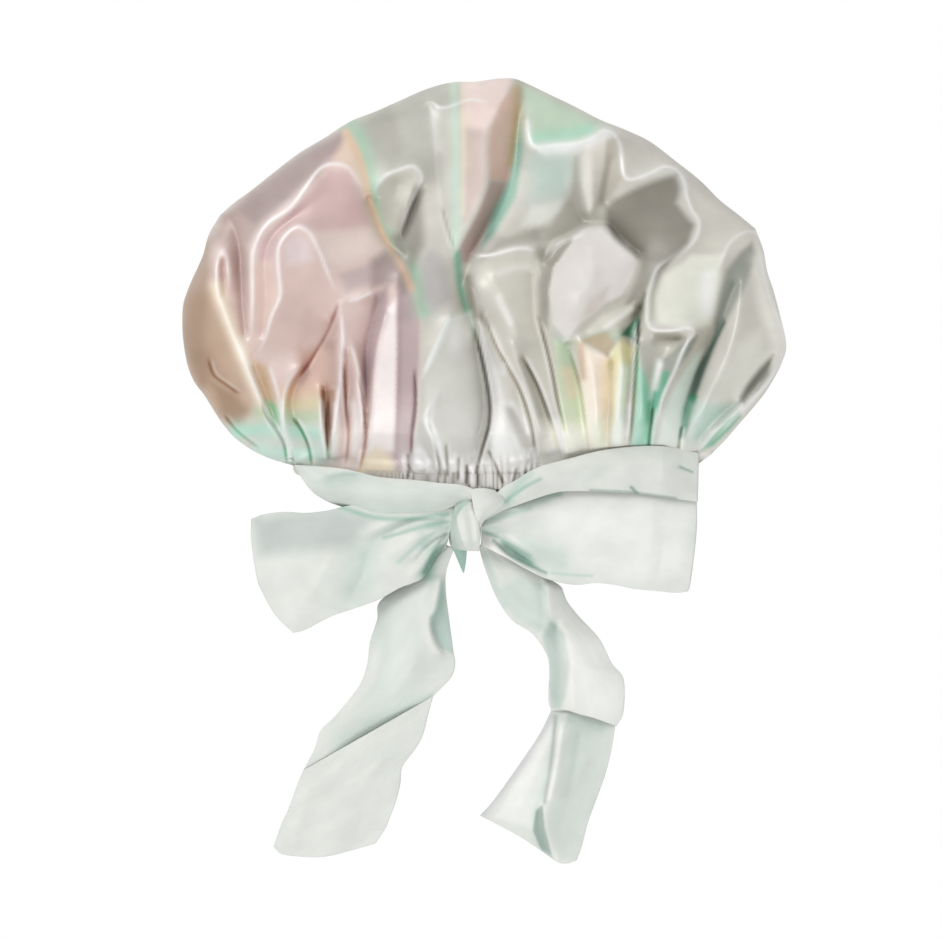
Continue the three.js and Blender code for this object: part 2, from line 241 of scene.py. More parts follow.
@dataclass(frozen=True)
class PhotoView:
    """Where the photograph's pixels lie on the table; it looks straight down, with +Y at its top."""

    columns: int = 942
    rows: int = 939
    mm_per_pixel: float = 0.55
    lip_column: float = 495.0
    lip_row: float = 490.0
    lens: float = 300.0
    sensor: float = 36.0
    sharp_height: float = 18.0
    far_clip: float = 20.0

    def to_table(self, pixels: Pixels) -> Array:
        """Turns photograph pixels into X and Y on the table."""
        points = np.asarray(pixels, float)
        x = (points[:, 0] - self.lip_column) * self.mm_per_pixel
        y = (self.lip_row - points[:, 1]) * self.mm_per_pixel
        return np.stack([x, y], axis=1)

    def place_camera(self) -> None:
        """Puts a long lens straight above the middle of the photograph."""
        data = bpy.data.cameras.new("photo_camera")
        data.lens = self.lens
        data.sensor_width = self.sensor
        away = self.columns * self.mm_per_pixel * self.lens / self.sensor
        data.clip_end = self.far_clip
        camera = bpy.data.objects.new("photo_camera", data)
        middle = self.to_table(((self.columns / 2, self.rows / 2),))[0]
        camera.location = (middle[0] * MM, middle[1] * MM, (away + self.sharp_height) * MM)
        bpy.context.scene.collection.objects.link(camera)
        bpy.context.scene.camera = camera


VIEW = PhotoView()


@dataclass(frozen=True)
class FoldLine:
    """A line that the cloth is pulled over, or drawn down along.

    Attributes:
        name: what the line is on the bonnet; not used.
        path: photograph pixels along the line.
        rise: heights over the plain form, evenly spaced along the line; below zero is a valley.
        lap: heights just to the right of the line as it runs, where one layer lies over the next.
        glow: how strongly a painted highlight lightens the colour along its crest.
    """

    name: str
    path: Pixels
    rise: tuple[float, ...]
    lap: tuple[float, ...] = ()
    glow: float = 0.0

    def tracks(self, spacing: float) -> list[Track]:
        """Samples the line and its lapped side.

        Args:
            spacing: the distance between samples.

        Returns:
            Points and heights of each track.
        """
        corners = VIEW.to_table(self.path)
        rough = np.linalg.norm(np.diff(corners, axis=0), axis=1).sum()
        shares = np.linspace(0, 1, max(int(rough / spacing), FEWEST_SAMPLES))
        points = curve_through(corners, shares)
        made = [(points, self.heights(self.rise, shares))]
        if self.lap:
            made.append((beside(points, LAP_GAP), self.heights(self.lap, shares)))
        return made

    @staticmethod
    def heights(values: tuple[float, ...], shares: Array) -> Array:
        """Spreads a few heights evenly along a line."""
        return np.interp(shares, np.linspace(0, 1, len(values)), values)


@dataclass(frozen=True)
class PaintedFoldLight:
    """Painted shade and highlight that the folds put into the cloth's colour.

    Attributes:
        slope: lightness gained by a slope of one towards the light.
        hollow: lightness lost by each mm of depth.
        breadth: of the hollows, in mm.
        toward: where the light is, seen from above.
        darkest: the least share of the dye's lightness.
        palest: the greatest share of it.
    """

    slope: float = 0.3
    hollow: float = 0.055
    breadth: float = 5.0
    # darkest: the least share of the colour's lightness that painted shade leaves.
    toward: tuple[float, float] = (-0.7, 0.7)
    darkest: float = 0.5
    palest: float = 1.15


@dataclass
class StretchedCloth:
    """A height map of cloth stretched over fold lines.

    A cell is the mean of its four neighbours, drawn towards zero so that a fold dies away over reach, and
    cells under a fold line keep its height. Coarse maps are solved first and refined.

    Attributes:
        low: the map's least X and Y.
        high: its greatest X and Y.
        pitch: the size of a cell.
        reach: how far a fold is felt.
        passes: rounds of settling for each map.
        softness: how far the creases are rounded.
        track_step: cells between the samples of a fold line.
        heights: the solved map.
    """

    low: Array
    high: Array
    pitch: float = 0.7
    reach: float = 24.0
    passes: int = 180
    softness: float = 1.0
    track_step: float = 0.4
    heights: Array = field(init=False)

    def solve(self, folds: tuple[FoldLine, ...]) -> StretchedCloth:
        """Finds the heights for a set of folds and rounds the creases.

        Args:
            folds: the lines that shape the cloth.

        Returns:
            This map.
        """
        tracks = [track for fold in folds for track in fold.tracks(self.track_step * self.pitch)]
        self.heights = np.zeros((2, 2))
        for coarseness in COARSENESS:
            pitch = coarseness * self.pitch
            shape = np.ceil((self.high - self.low) / pitch).astype(int)[::-1] + 1
            held, target = self.hold(tracks, pitch, tuple(shape))
            self.heights = self.relax(resized(self.heights, tuple(shape)), held, target, pitch)
        self.heights = softened(self.heights, self.softness / self.pitch)
        return self

    def groove(self, creases: tuple[GrooveWithPaintedLight, ...]) -> None:
        """Presses narrow grooves into the map along pleat lines."""
        rows, columns = np.indices(self.heights.shape)
        cells = np.stack([columns, rows], axis=-1).reshape(-1, 2) * self.pitch + self.low
        flat = self.heights.reshape(-1).copy()
        for crease in creases:
            track = crease.track()
            low, high = track.min(axis=0) - GROOVE_MARGIN, track.max(axis=0) + GROOVE_MARGIN
            near = np.all((cells > low) & (cells < high), axis=1)
            flat[near] -= crease.depth * crease.share(track, cells[near])
        self.heights = flat.reshape(self.heights.shape)

    def hold(self, tracks: list[Track], pitch: float, shape: tuple[int, int]) -> tuple[Array, Array]:
        """Marks the cells under the fold lines.

        Args:
            tracks: points and heights of each line.
            pitch: the size of a cell.
            shape: rows and columns of the map.

        Returns:
            Which cells are held, and their heights.
        """
        total = np.zeros(shape)
        count = np.zeros(shape)
        for points, heights in tracks:
            cell = np.rint((points - self.low) / pitch).astype(int)
            column = np.clip(cell[:, 0], 0, shape[1] - 1)
            row = np.clip(cell[:, 1], 0, shape[0] - 1)
            np.add.at(total, (row, column), heights)
            np.add.at(count, (row, column), 1.0)
        return count > 0, total / np.maximum(count, 1.0)

    def relax(self, heights: Array, held: Array, target: Array, pitch: float) -> Array:
        """Lets the free cells settle between the held ones."""
        drag = 4.0 + (pitch / self.reach) ** 2
        for _ in range(self.passes):
            heights = np.where(held, target, heights)
            edged = np.pad(heights, 1, mode="edge")
            around = edged[:-2, 1:-1] + edged[2:, 1:-1] + edged[1:-1, :-2] + edged[1:-1, 2:]
            heights = around / drag
        return np.where(held, target, heights)

    def at(self, points: Array) -> Array:
        """The cloth's height at a grid of points."""
        return self.read(self.heights, points)

    def read(self, grid: Array, points: Array) -> Array:
        """Reads a map of this cloth at a grid of points, straight between cells."""
        place = (points - self.low) / self.pitch
        place = np.clip(place, 0, np.array(grid.shape[::-1]) - LAST_CELL)
        cell = place.astype(int)
        share = place - cell
        column, row = cell[..., 0], cell[..., 1]
        across, upward = share[..., 0], share[..., 1]
        near = grid[row, column] * (1 - across) + grid[row, column + 1] * across
        far = grid[row + 1, column] * (1 - across) + grid[row + 1, column + 1] * across
        return near * (1 - upward) + far * upward

    def shading(self, points: Array, tone: PaintedFoldLight) -> Array:
        """Painted shade and highlight of the folds, as seen from above.

        A slope towards the light is painted paler by a share of its steepness, and a hollow painted darker by
        a share of how far it lies under the blurred cloth.

        Args:
            points: X and Y of the grid.
            tone: how strong the painted shade and highlight are.

        Returns:
            What the colour is multiplied by: the painted shade and highlight.
        """
        steep_y, steep_x = np.gradient(self.heights, self.pitch)
        lit = -(steep_x * tone.toward[0] + steep_y * tone.toward[1])
        depth = softened(self.heights, tone.breadth / self.pitch) - self.heights
        shade = 1 + tone.slope * lit - tone.hollow * depth
        return np.clip(self.read(shade, points), tone.darkest, tone.palest)


def resized(grid: Array, shape: tuple[int, int]) -> Array:
    """Stretches a grid to another number of rows and columns, straight between its values."""
    rows = np.linspace(0, grid.shape[0] - 1, shape[0])
    row = np.minimum(rows.astype(int), grid.shape[0] - 2)
    share = (rows - row)[:, None]
    tall = grid[row] * (1 - share) + grid[row + 1] * share
    columns = np.linspace(0, grid.shape[1] - 1, shape[1])
    column = np.minimum(columns.astype(int), grid.shape[1] - 2)
    share = columns - column
    return tall[:, column] * (1 - share) + tall[:, column + 1] * share


def softened(grid: Array, breadth: float) -> Array:
    """Blurs a grid by a bell curve whose breadth is in cells."""
    half = max(int(BELL_HALF * breadth), 1)
    offsets = np.arange(-half, half + 1)
    weights = np.exp(-0.5 * (offsets / max(breadth, NARROW)) ** 2)
    weights /= weights.sum()
    for axis in (0, 1):
        pad = [(half, half) if axis == side else (0, 0) for side in (0, 1)]
        edged = np.pad(grid, pad, mode="edge")
        size = grid.shape[axis]
        grid = sum(w * np.take(edged, np.arange(size) + k, axis) for k, w in enumerate(weights))
    return grid


def line_through(pixels: Pixels) -> Array:
    """Samples a smooth line through photograph pixels, evenly on the table."""
    corners = VIEW.to_table(pixels)
    length = np.linalg.norm(np.diff(corners, axis=0), axis=1).sum()
    return curve_through(corners, np.linspace(0, 1, int(length / MARK_SPACING) + FEWEST_SAMPLES))


def tapered(place: Array) -> Array:
    """Fades a line out over a sixth of its length at both ends."""
    return ease(0.0, TAPER, place) * ease(0.0, TAPER, 1 - place)


@dataclass(frozen=True)
class PaintedHighlight:
    """A painted highlight on a crest: the colour is painted paler along a line by a bell curve, and fades at
    the line's ends.
    """

    path: Pixels
    strength: float
    breadth: float = 1.9

    @property
    def reach(self) -> float:
        """How far from its line the painted highlight still shows, in pixels."""
        return BELL_SHOWN * self.breadth

    def over(self, colours: Array, points: Array) -> Array:
        """Paints a highlight: lightens the colours of some points towards white."""
        away, place = along_line(line_through(self.path), points)
        bell = np.exp(-((away / (self.breadth * VIEW.mm_per_pixel)) ** 2))
        share = self.strength * bell * tapered(place)
        return colours + (1 - colours) * share[:, None]


@dataclass(frozen=True)
class GrooveWithPaintedLight:
    """A sharp pleat line: a narrow groove in the cloth, with painted shade inside it and a painted highlight
    on a lip beside it.

    Attributes:
        path: photograph pixels along the line.
        dark: how strongly painted shade deepens the colour in the groove.
        lit: how strongly a painted highlight lightens its lip.
        side: where the lip is as the line runs.
        depth: of the groove, in mm.
        breadth: of the groove, in pixels.
        lip_gap: from the groove to its lip, in pixels.
        deepening: the power that a full painted shade raises the colour by.
        reach: how far from the line its marks still show, in pixels.
    """

    path: Pixels
    dark: float = 0.7
    lit: float = 0.45
    side: Side = Side.LEFT
    depth: float = 1.0
    breadth: float = 1.5
    lip_gap: float = 3.2
    deepening: float = 2.6
    reach: float = 8.0

    def track(self) -> Array:
        """Samples the line."""
        return line_through(self.path)

    def share(self, track: Array, points: Array) -> Array:
        """How near each point is to a line beside the crease, as a bell curve that fades at the ends."""
        away, place = along_line(track, points)
        return np.exp(-((away / (self.breadth * VIEW.mm_per_pixel)) ** 2)) * tapered(place)

    def over(self, colours: Array, points: Array) -> Array:
        """Paints shade in the groove by raising the colours to a power, and paints a highlight on the lip."""
        track = self.track()
        deeper = colours ** (1 + self.deepening * self.dark * self.share(track, points)[:, None])
        lip_line = beside(track, self.side.value * self.lip_gap * VIEW.mm_per_pixel)
        lip = self.lit * self.share(lip_line, points)
        return deeper + (1 - deeper) * lip[:, None]


@dataclass(frozen=True)
class DyeAndPaintedLightBand:
    """A soft band of colour along a line, full strength on it and fading as a bell curve: some bands are the
    cloth's own colours, many are painted shade or painted highlights.
    """

    path: Pixels
    colour: Colour
    breadth: float
    strength: float = 1.0

    @property
    def reach(self) -> float:
        """How far from its line the band still shows, in pixels."""
        return BELL_SHOWN * self.breadth

    def over(self, colours: Array, points: Array) -> Array:
        """Lays the band's colour over those of some points."""
        away = distance_to(line_through(self.path), points) / (self.breadth * VIEW.mm_per_pixel)
        share = self.strength * np.exp(-(away**2))[:, None]
        return colours * (1 - share) + linear(self.colour) * share


@dataclass(frozen=True)
class DyeAndPaintedLightPatch:
    """A patch of one colour with soft edges between folds: mostly the painted shade or painted highlight of
    that facet, in places the cloth's own colour.
    """

    path: Pixels
    colour: Colour
    soft: float = 4.0
    strength: float = 0.85

    @property
    def reach(self) -> float:
        """How far outside its outline the patch still shows, in pixels."""
        return self.soft

    def over(self, colours: Array, points: Array) -> Array:
        """Lays the patch's colour over those of some points, eased by their distance inside the outline."""
        corners = VIEW.to_table(self.path)
        following = np.roll(corners, -1, axis=0)
        shares = np.linspace(0, 1, OUTLINE_STEPS, endpoint=False)[None, :, None]
        edge = (corners[:, None] * (1 - shares) + following[:, None] * shares).reshape(-1, 2)
        away = distance_to(edge, points)
        inside = np.zeros(points.shape[:-1], bool)
        x, y = points[..., 0], points[..., 1]
        for (x0, y0), (x1, y1) in zip(corners, following):
            edge_x = x0 + (y - y0) * (x1 - x0) / (y1 - y0 + TINY)
            inside ^= ((y0 > y) != (y1 > y)) & (x < edge_x)
        soft = self.soft * VIEW.mm_per_pixel
        share = self.strength * ease(-soft, soft, np.where(inside, away, -away))[:, None]
        return colours * (1 - share) + linear(self.colour) * share


Mark = PaintedHighlight | GrooveWithPaintedLight | DyeAndPaintedLightBand | DyeAndPaintedLightPatch


def dyed_with_painted_light(base: Colour, marks: tuple[Mark, ...], points: Array) -> Array:
    """Colours a grid of points with marks, one over another: the cloth's own colours, painted shade and
    painted highlights.

    Args:
        base: the plain cloth's colour.
        marks: bands, patches, painted crest highlights and painted crease shade, the first one lowest.
        points: X and Y of each point.

    Returns:
        Linear colours, one for each point.
    """
    flat = points.reshape(-1, 2)
    colours = np.broadcast_to(linear(base), (len(flat), 3)).copy()
    for mark in marks:
        corners = VIEW.to_table(mark.path)
        margin = mark.reach * VIEW.mm_per_pixel
        near = np.all((flat > corners.min(axis=0) - margin) & (flat < corners.max(axis=0) + margin), axis=1)
        if near.any():
            colours[near] = mark.over(colours[near], flat[near])
    return colours.reshape(points.shape[:-1] + (3,))


def grid_faces(index: Array) -> Array:
    """Quads between the neighbouring entries of a grid of vertex numbers, facing up where rows go up."""
    corners = (index[:-1, :-1], index[:-1, 1:], index[1:, 1:], index[1:, :-1])
    return np.stack([corner.ravel() for corner in corners], axis=1)


@dataclass
class ClothMesh:
    """Vertices in mm, quads, and what the finish reads from them.

    Attributes:
        vertices: one X, Y and Z a row.
        faces: four vertex numbers a row.
        flat: where each vertex lies on the flat cloth, in mm.
        tint_and_painted_light: the colour of each vertex with its painted shade and painted highlights, if
            the cloth has one.
    """

    vertices: Array
    faces: Array
    flat: Array
    tint_and_painted_light: Array | None = None

    def make(self, name: str, material: bpy.types.Material) -> bpy.types.Object:
        """Writes the mesh into the scene.

        Args:
            name: the piece's name.
            material: its finish.

        Returns:
            The new object, at the origin.
        """
        mesh = bpy.data.meshes.new(name)
        mesh.vertices.add(len(self.vertices))
        mesh.vertices.foreach_set("co", (self.vertices * MM).astype(np.float32).ravel())
        mesh.loops.add(self.faces.size)
        mesh.loops.foreach_set("vertex_index", self.faces.astype(np.int32).ravel())
        mesh.polygons.add(len(self.faces))
        mesh.polygons.foreach_set("loop_start", np.arange(0, self.faces.size, 4, dtype=np.int32))
        mesh.update(calc_edges=True)
        mesh.validate()
        mesh.shade_smooth()
        layer = mesh.uv_layers.new(name="flat_cloth")
        layer.data.foreach_set("uv", (self.flat[self.faces.ravel()] * MM).astype(np.float32).ravel())
        # The colour attribute holds the cloth's colour with painted shade and painted highlights.
        if self.tint_and_painted_light is not None:
            dye_and_painted_light = mesh.attributes.new("dye_and_painted_light", "FLOAT_COLOR", "POINT")
            full = np.concatenate([self.tint_and_painted_light, np.ones((len(self.tint_and_painted_light), 1))], axis=1)
            dye_and_painted_light.data.foreach_set("color", full.astype(np.float32).ravel())
        mesh.materials.append(material)
        piece = bpy.data.objects.new(name, mesh)
        bpy.context.scene.collection.objects.link(piece)
        return piece


class NodePad:
    """A short way to write shader nodes: adds nodes and joins their sockets."""

    def __init__(self, tree: bpy.types.NodeTree) -> None:
        """Starts on an empty or new tree."""
        self.tree = tree

    def add(self, kind: str, values: dict | None = None, **settings: object) -> bpy.types.Node:
        """Adds a node.

        Args:
            kind: the node's type.
            values: its sockets' values, or sockets of other nodes to link from.
            settings: properties of the node.

        Returns:
            The node.
        """
        node = self.tree.nodes.new(kind)
        for key, value in settings.items():
            setattr(node, key, value)
        for key, value in (values or {}).items():
            if isinstance(value, bpy.types.NodeSocket):
                self.tree.links.new(value, node.inputs[key])
            else:
                node.inputs[key].default_value = value
        return node


YARN_SCALE = (900.0, 120.0, 1.0)
YARN_DETAIL = 2.0
TONE_SCALE = 60.0
TONE_DETAIL = 3.0


def thread_group() -> bpy.types.NodeTree:
    """Builds the woven threads that every cloth shares.

    Two crossed waves stand for the threads over and under, and a stretched noise for uneven yarn.

    Returns:
        The group, with the weave's height and a slow variation of tone as outputs.
    """
    name = "woven_threads"
    if name in bpy.data.node_groups:
        return bpy.data.node_groups[name]
    tree = bpy.data.node_groups.new(name, "ShaderNodeTree")
    for label in ("Threads per metre", "Yarn unevenness"):
        tree.interface.new_socket(label, in_out="INPUT", socket_type="NodeSocketFloat")
    for label in ("Height", "Tone"):
        tree.interface.new_socket(label, in_out="OUTPUT", socket_type="NodeSocketFloat")
    pad = NodePad(tree)
    asked = pad.add("NodeGroupInput")
    place = pad.add("ShaderNodeTexCoord").outputs["UV"]
    scaled = pad.add(
        "ShaderNodeVectorMath",
        {0: place, "Scale": asked.outputs["Threads per metre"]},
        operation="SCALE",
    )
    split = pad.add("ShaderNodeSeparateXYZ", {0: scaled.outputs[0]})
    warp = pad.add("ShaderNodeMath", {0: split.outputs["X"]}, operation="SINE")
    weft = pad.add("ShaderNodeMath", {0: split.outputs["Y"]}, operation="SINE")
    crossed = pad.add("ShaderNodeMath", {0: warp.outputs[0], 1: weft.outputs[0]}, operation="MULTIPLY")
    drawn = pad.add("ShaderNodeMapping", {"Vector": place, "Scale": YARN_SCALE})
    yarn = pad.add("ShaderNodeTexNoise", {"Vector": drawn.outputs[0], "Scale": 1.0, "Detail": YARN_DETAIL})
    uneven = pad.add(
        "ShaderNodeMath",
        {0: yarn.outputs[0], 1: asked.outputs["Yarn unevenness"]},
        operation="MULTIPLY",
    )
    height = pad.add("ShaderNodeMath", {0: crossed.outputs[0], 1: uneven.outputs[0]}, operation="ADD")
    slow = pad.add("ShaderNodeTexNoise", {"Vector": place, "Scale": TONE_SCALE, "Detail": TONE_DETAIL})
    out = pad.add("NodeGroupOutput")
    tree.links.new(height.outputs[0], out.inputs["Height"])
    tree.links.new(slow.outputs[0], out.inputs["Tone"])
    return tree


@dataclass(frozen=True)
class ClothFinish:
    """How a cloth takes light.

    Attributes:
        name: the material's name.
        colour: its colour where it doesn't read the colour attribute.
        dyed_with_painted_light: whether the colour comes from the piece's attribute of colour with painted
            shade and painted highlights.
        roughness: of its surface.
        polish: the strength of its reflection.
        lustre: the share of light that is mirrored in the cloth's own colour.
        sheen: soft light at grazing angles.
        threads: per metre.
        relief: the strength of the weave's bump.
        unevenness: of the yarn.
        tone: how much the colour varies slowly.
        tone_span: the noise values between which it varies.
        weave_span: the least and greatest height of the weave.
        rough_swing: how much smoother the threads' tops are, and how much rougher the gaps.
        bump_depth: the weave's depth in metres.
        sheen_roughness: how widely the sheen spreads.
    """

    name: str
    colour: Colour
    dyed_with_painted_light: bool = False
    roughness: float = 0.7
    polish: float = 0.5
    lustre: float = 0.0
    sheen: float = 0.0
    threads: float = 9000.0
    relief: float = 0.1
    unevenness: float = 0.8
    tone: float = 0.06
    tone_span: tuple[float, float] = (0.3, 0.7)
    weave_span: tuple[float, float] = (-1.0, 1.5)
    rough_swing: float = 0.04
    bump_depth: float = 0.0002
    sheen_roughness: float = 0.4

    def build(self) -> bpy.types.Material:
        """Makes the material once.

        Returns:
            The material.
        """
        if self.name in bpy.data.materials:
            return bpy.data.materials[self.name]
        material = bpy.data.materials.new(self.name)
        material.use_nodes = True
        tree = material.node_tree
        shader = tree.nodes["Principled BSDF"]
        pad = NodePad(tree)
        weave = pad.add("ShaderNodeGroup", node_tree=thread_group())
        weave.inputs["Threads per metre"].default_value = self.threads
        weave.inputs["Yarn unevenness"].default_value = self.unevenness
        dim, bright = self.tone_span
        light = pad.add(
            "ShaderNodeMapRange",
            {0: weave.outputs["Tone"], 1: dim, 2: bright, 3: 1.0 - self.tone, 4: 1.0 + self.tone},
        )
        plain = pad.add("ShaderNodeMix", data_type="RGBA", blend_type="MULTIPLY")
        plain.inputs["Factor"].default_value = 1.0
        # Reads the colour attribute, which holds painted shade and painted highlights.
        if self.dyed_with_painted_light:
            dye_and_painted_light = pad.add("ShaderNodeAttribute", attribute_name="dye_and_painted_light")
            tree.links.new(dye_and_painted_light.outputs["Color"], plain.inputs["A"])
        else:
            plain.inputs["A"].default_value = rgba(self.colour)
        tree.links.new(light.outputs[0], plain.inputs["B"])
        tree.links.new(plain.outputs["Result"], shader.inputs["Base Color"])
        gaps, tops = self.weave_span
        dull, smooth = self.roughness + self.rough_swing, self.roughness - self.rough_swing
        rough = pad.add(
            "ShaderNodeMapRange", {0: weave.outputs["Height"], 1: gaps, 2: tops, 3: dull, 4: smooth}
        )
        tree.links.new(rough.outputs[0], shader.inputs["Roughness"])
        bump = pad.add("ShaderNodeBump", {"Height": weave.outputs["Height"], "Strength": self.relief})
        bump.inputs["Distance"].default_value = self.bump_depth
        tree.links.new(bump.outputs[0], shader.inputs["Normal"])
        shader.inputs["Specular IOR Level"].default_value = self.polish
        shader.inputs["Metallic"].default_value = self.lustre
        shader.inputs["Sheen Weight"].default_value = self.sheen
        shader.inputs["Sheen Roughness"].default_value = self.sheen_roughness
        return material


SATIN = ClothFinish(
    "satin_dye_and_painted_light",
    (205, 202, 196),
    dyed_with_painted_light=True,
    roughness=0.38,
    polish=0.55,
    lustre=0.1,
    threads=14000.0,
)
LINING = ClothFinish("lining_satin", (226, 221, 216), roughness=0.35, polish=0.7, threads=14000.0)
CREPE = ClothFinish(
    "mint_crepe",
    (228, 238, 232),
    dyed_with_painted_light=True,
    roughness=0.75,
    polish=0.25,
    sheen=0.2,
    relief=0.25,
)
ELASTIC = ClothFinish(
    "woven_elastic",
    (240, 238, 232),
    roughness=0.7,
    polish=0.3,
    threads=5000.0,
    relief=0.4,
)


@dataclass
class Mouth:
    """The mouth's ring, which the crown, casing and elastic share."""

    width: float = 222.0
    height: float = 22.0
    floor: float = 1.15
    depth: float = 8.8
    thick: float = 2.9
    bow: float = 5.0
    top_squareness: float = 2.4
    base_squareness: float = 3.6

    @property
    def seam(self) -> float:
        """Where the crown is sewn on at the mouth's ends, in Y."""
        return self.depth + self.bow

    @property
    def middle(self) -> float:
        """The height of the mouth's ends."""
        return self.floor + self.height / 2

    def lip_height(self, x: Array, lip: Lip, inset: float) -> Array:
        """The height of a lip over a place across the mouth, by a superellipse inside its outer face.

        Args:
            x: places across the mouth.
            lip: which lip.
            inset: how far inside the outer face it runs.

        Returns:
            Heights over the table.
        """
        power = self.top_squareness if lip is Lip.UPPER else self.base_squareness
        share = np.clip(np.abs(x) / (self.width / 2), 0, 1)
        bulge = (1 - share**power) ** (1 / power)
        return self.middle + lip.value * (self.height / 2 - inset) * bulge

    def seam_line(self, shares: Array) -> Array:
        """Points along the seam from the left end to the right, bowed towards the lip."""
        x = (shares - 0.5) * self.width
        bend = np.sqrt(np.clip(1 - (2 * shares - 1) ** 2, 0, 1))
        return np.stack([x, self.seam - self.bow * bend], axis=1)


CROWN_LEFT: Pixels = ((293, 465), (262, 455), (239, 441), (223, 424), (205, 396), (194, 381), (187, 362),
    (183, 335), (183, 308), (188, 290), (195, 274), (203, 256), (209, 235), (220, 216))
CROWN_TOP: Pixels = ((220, 216), (236, 202), (250, 192), (275, 172), (300, 153), (325, 138), (350, 122),
    (375, 112), (400, 101), (425, 90), (450, 83), (475, 82), (498, 79), (514, 79), (527, 84), (550, 95),
    (575, 107), (600, 120), (625, 130), (650, 142), (675, 161), (700, 181), (719, 200), (738, 215),
    (755, 229))
CROWN_RIGHT: Pixels = ((697, 465), (711, 454), (725, 440), (738, 425), (751, 410), (764, 394), (774, 378),
    (781, 364), (786, 346), (781, 320), (773, 290), (767, 272), (763, 250), (755, 229))

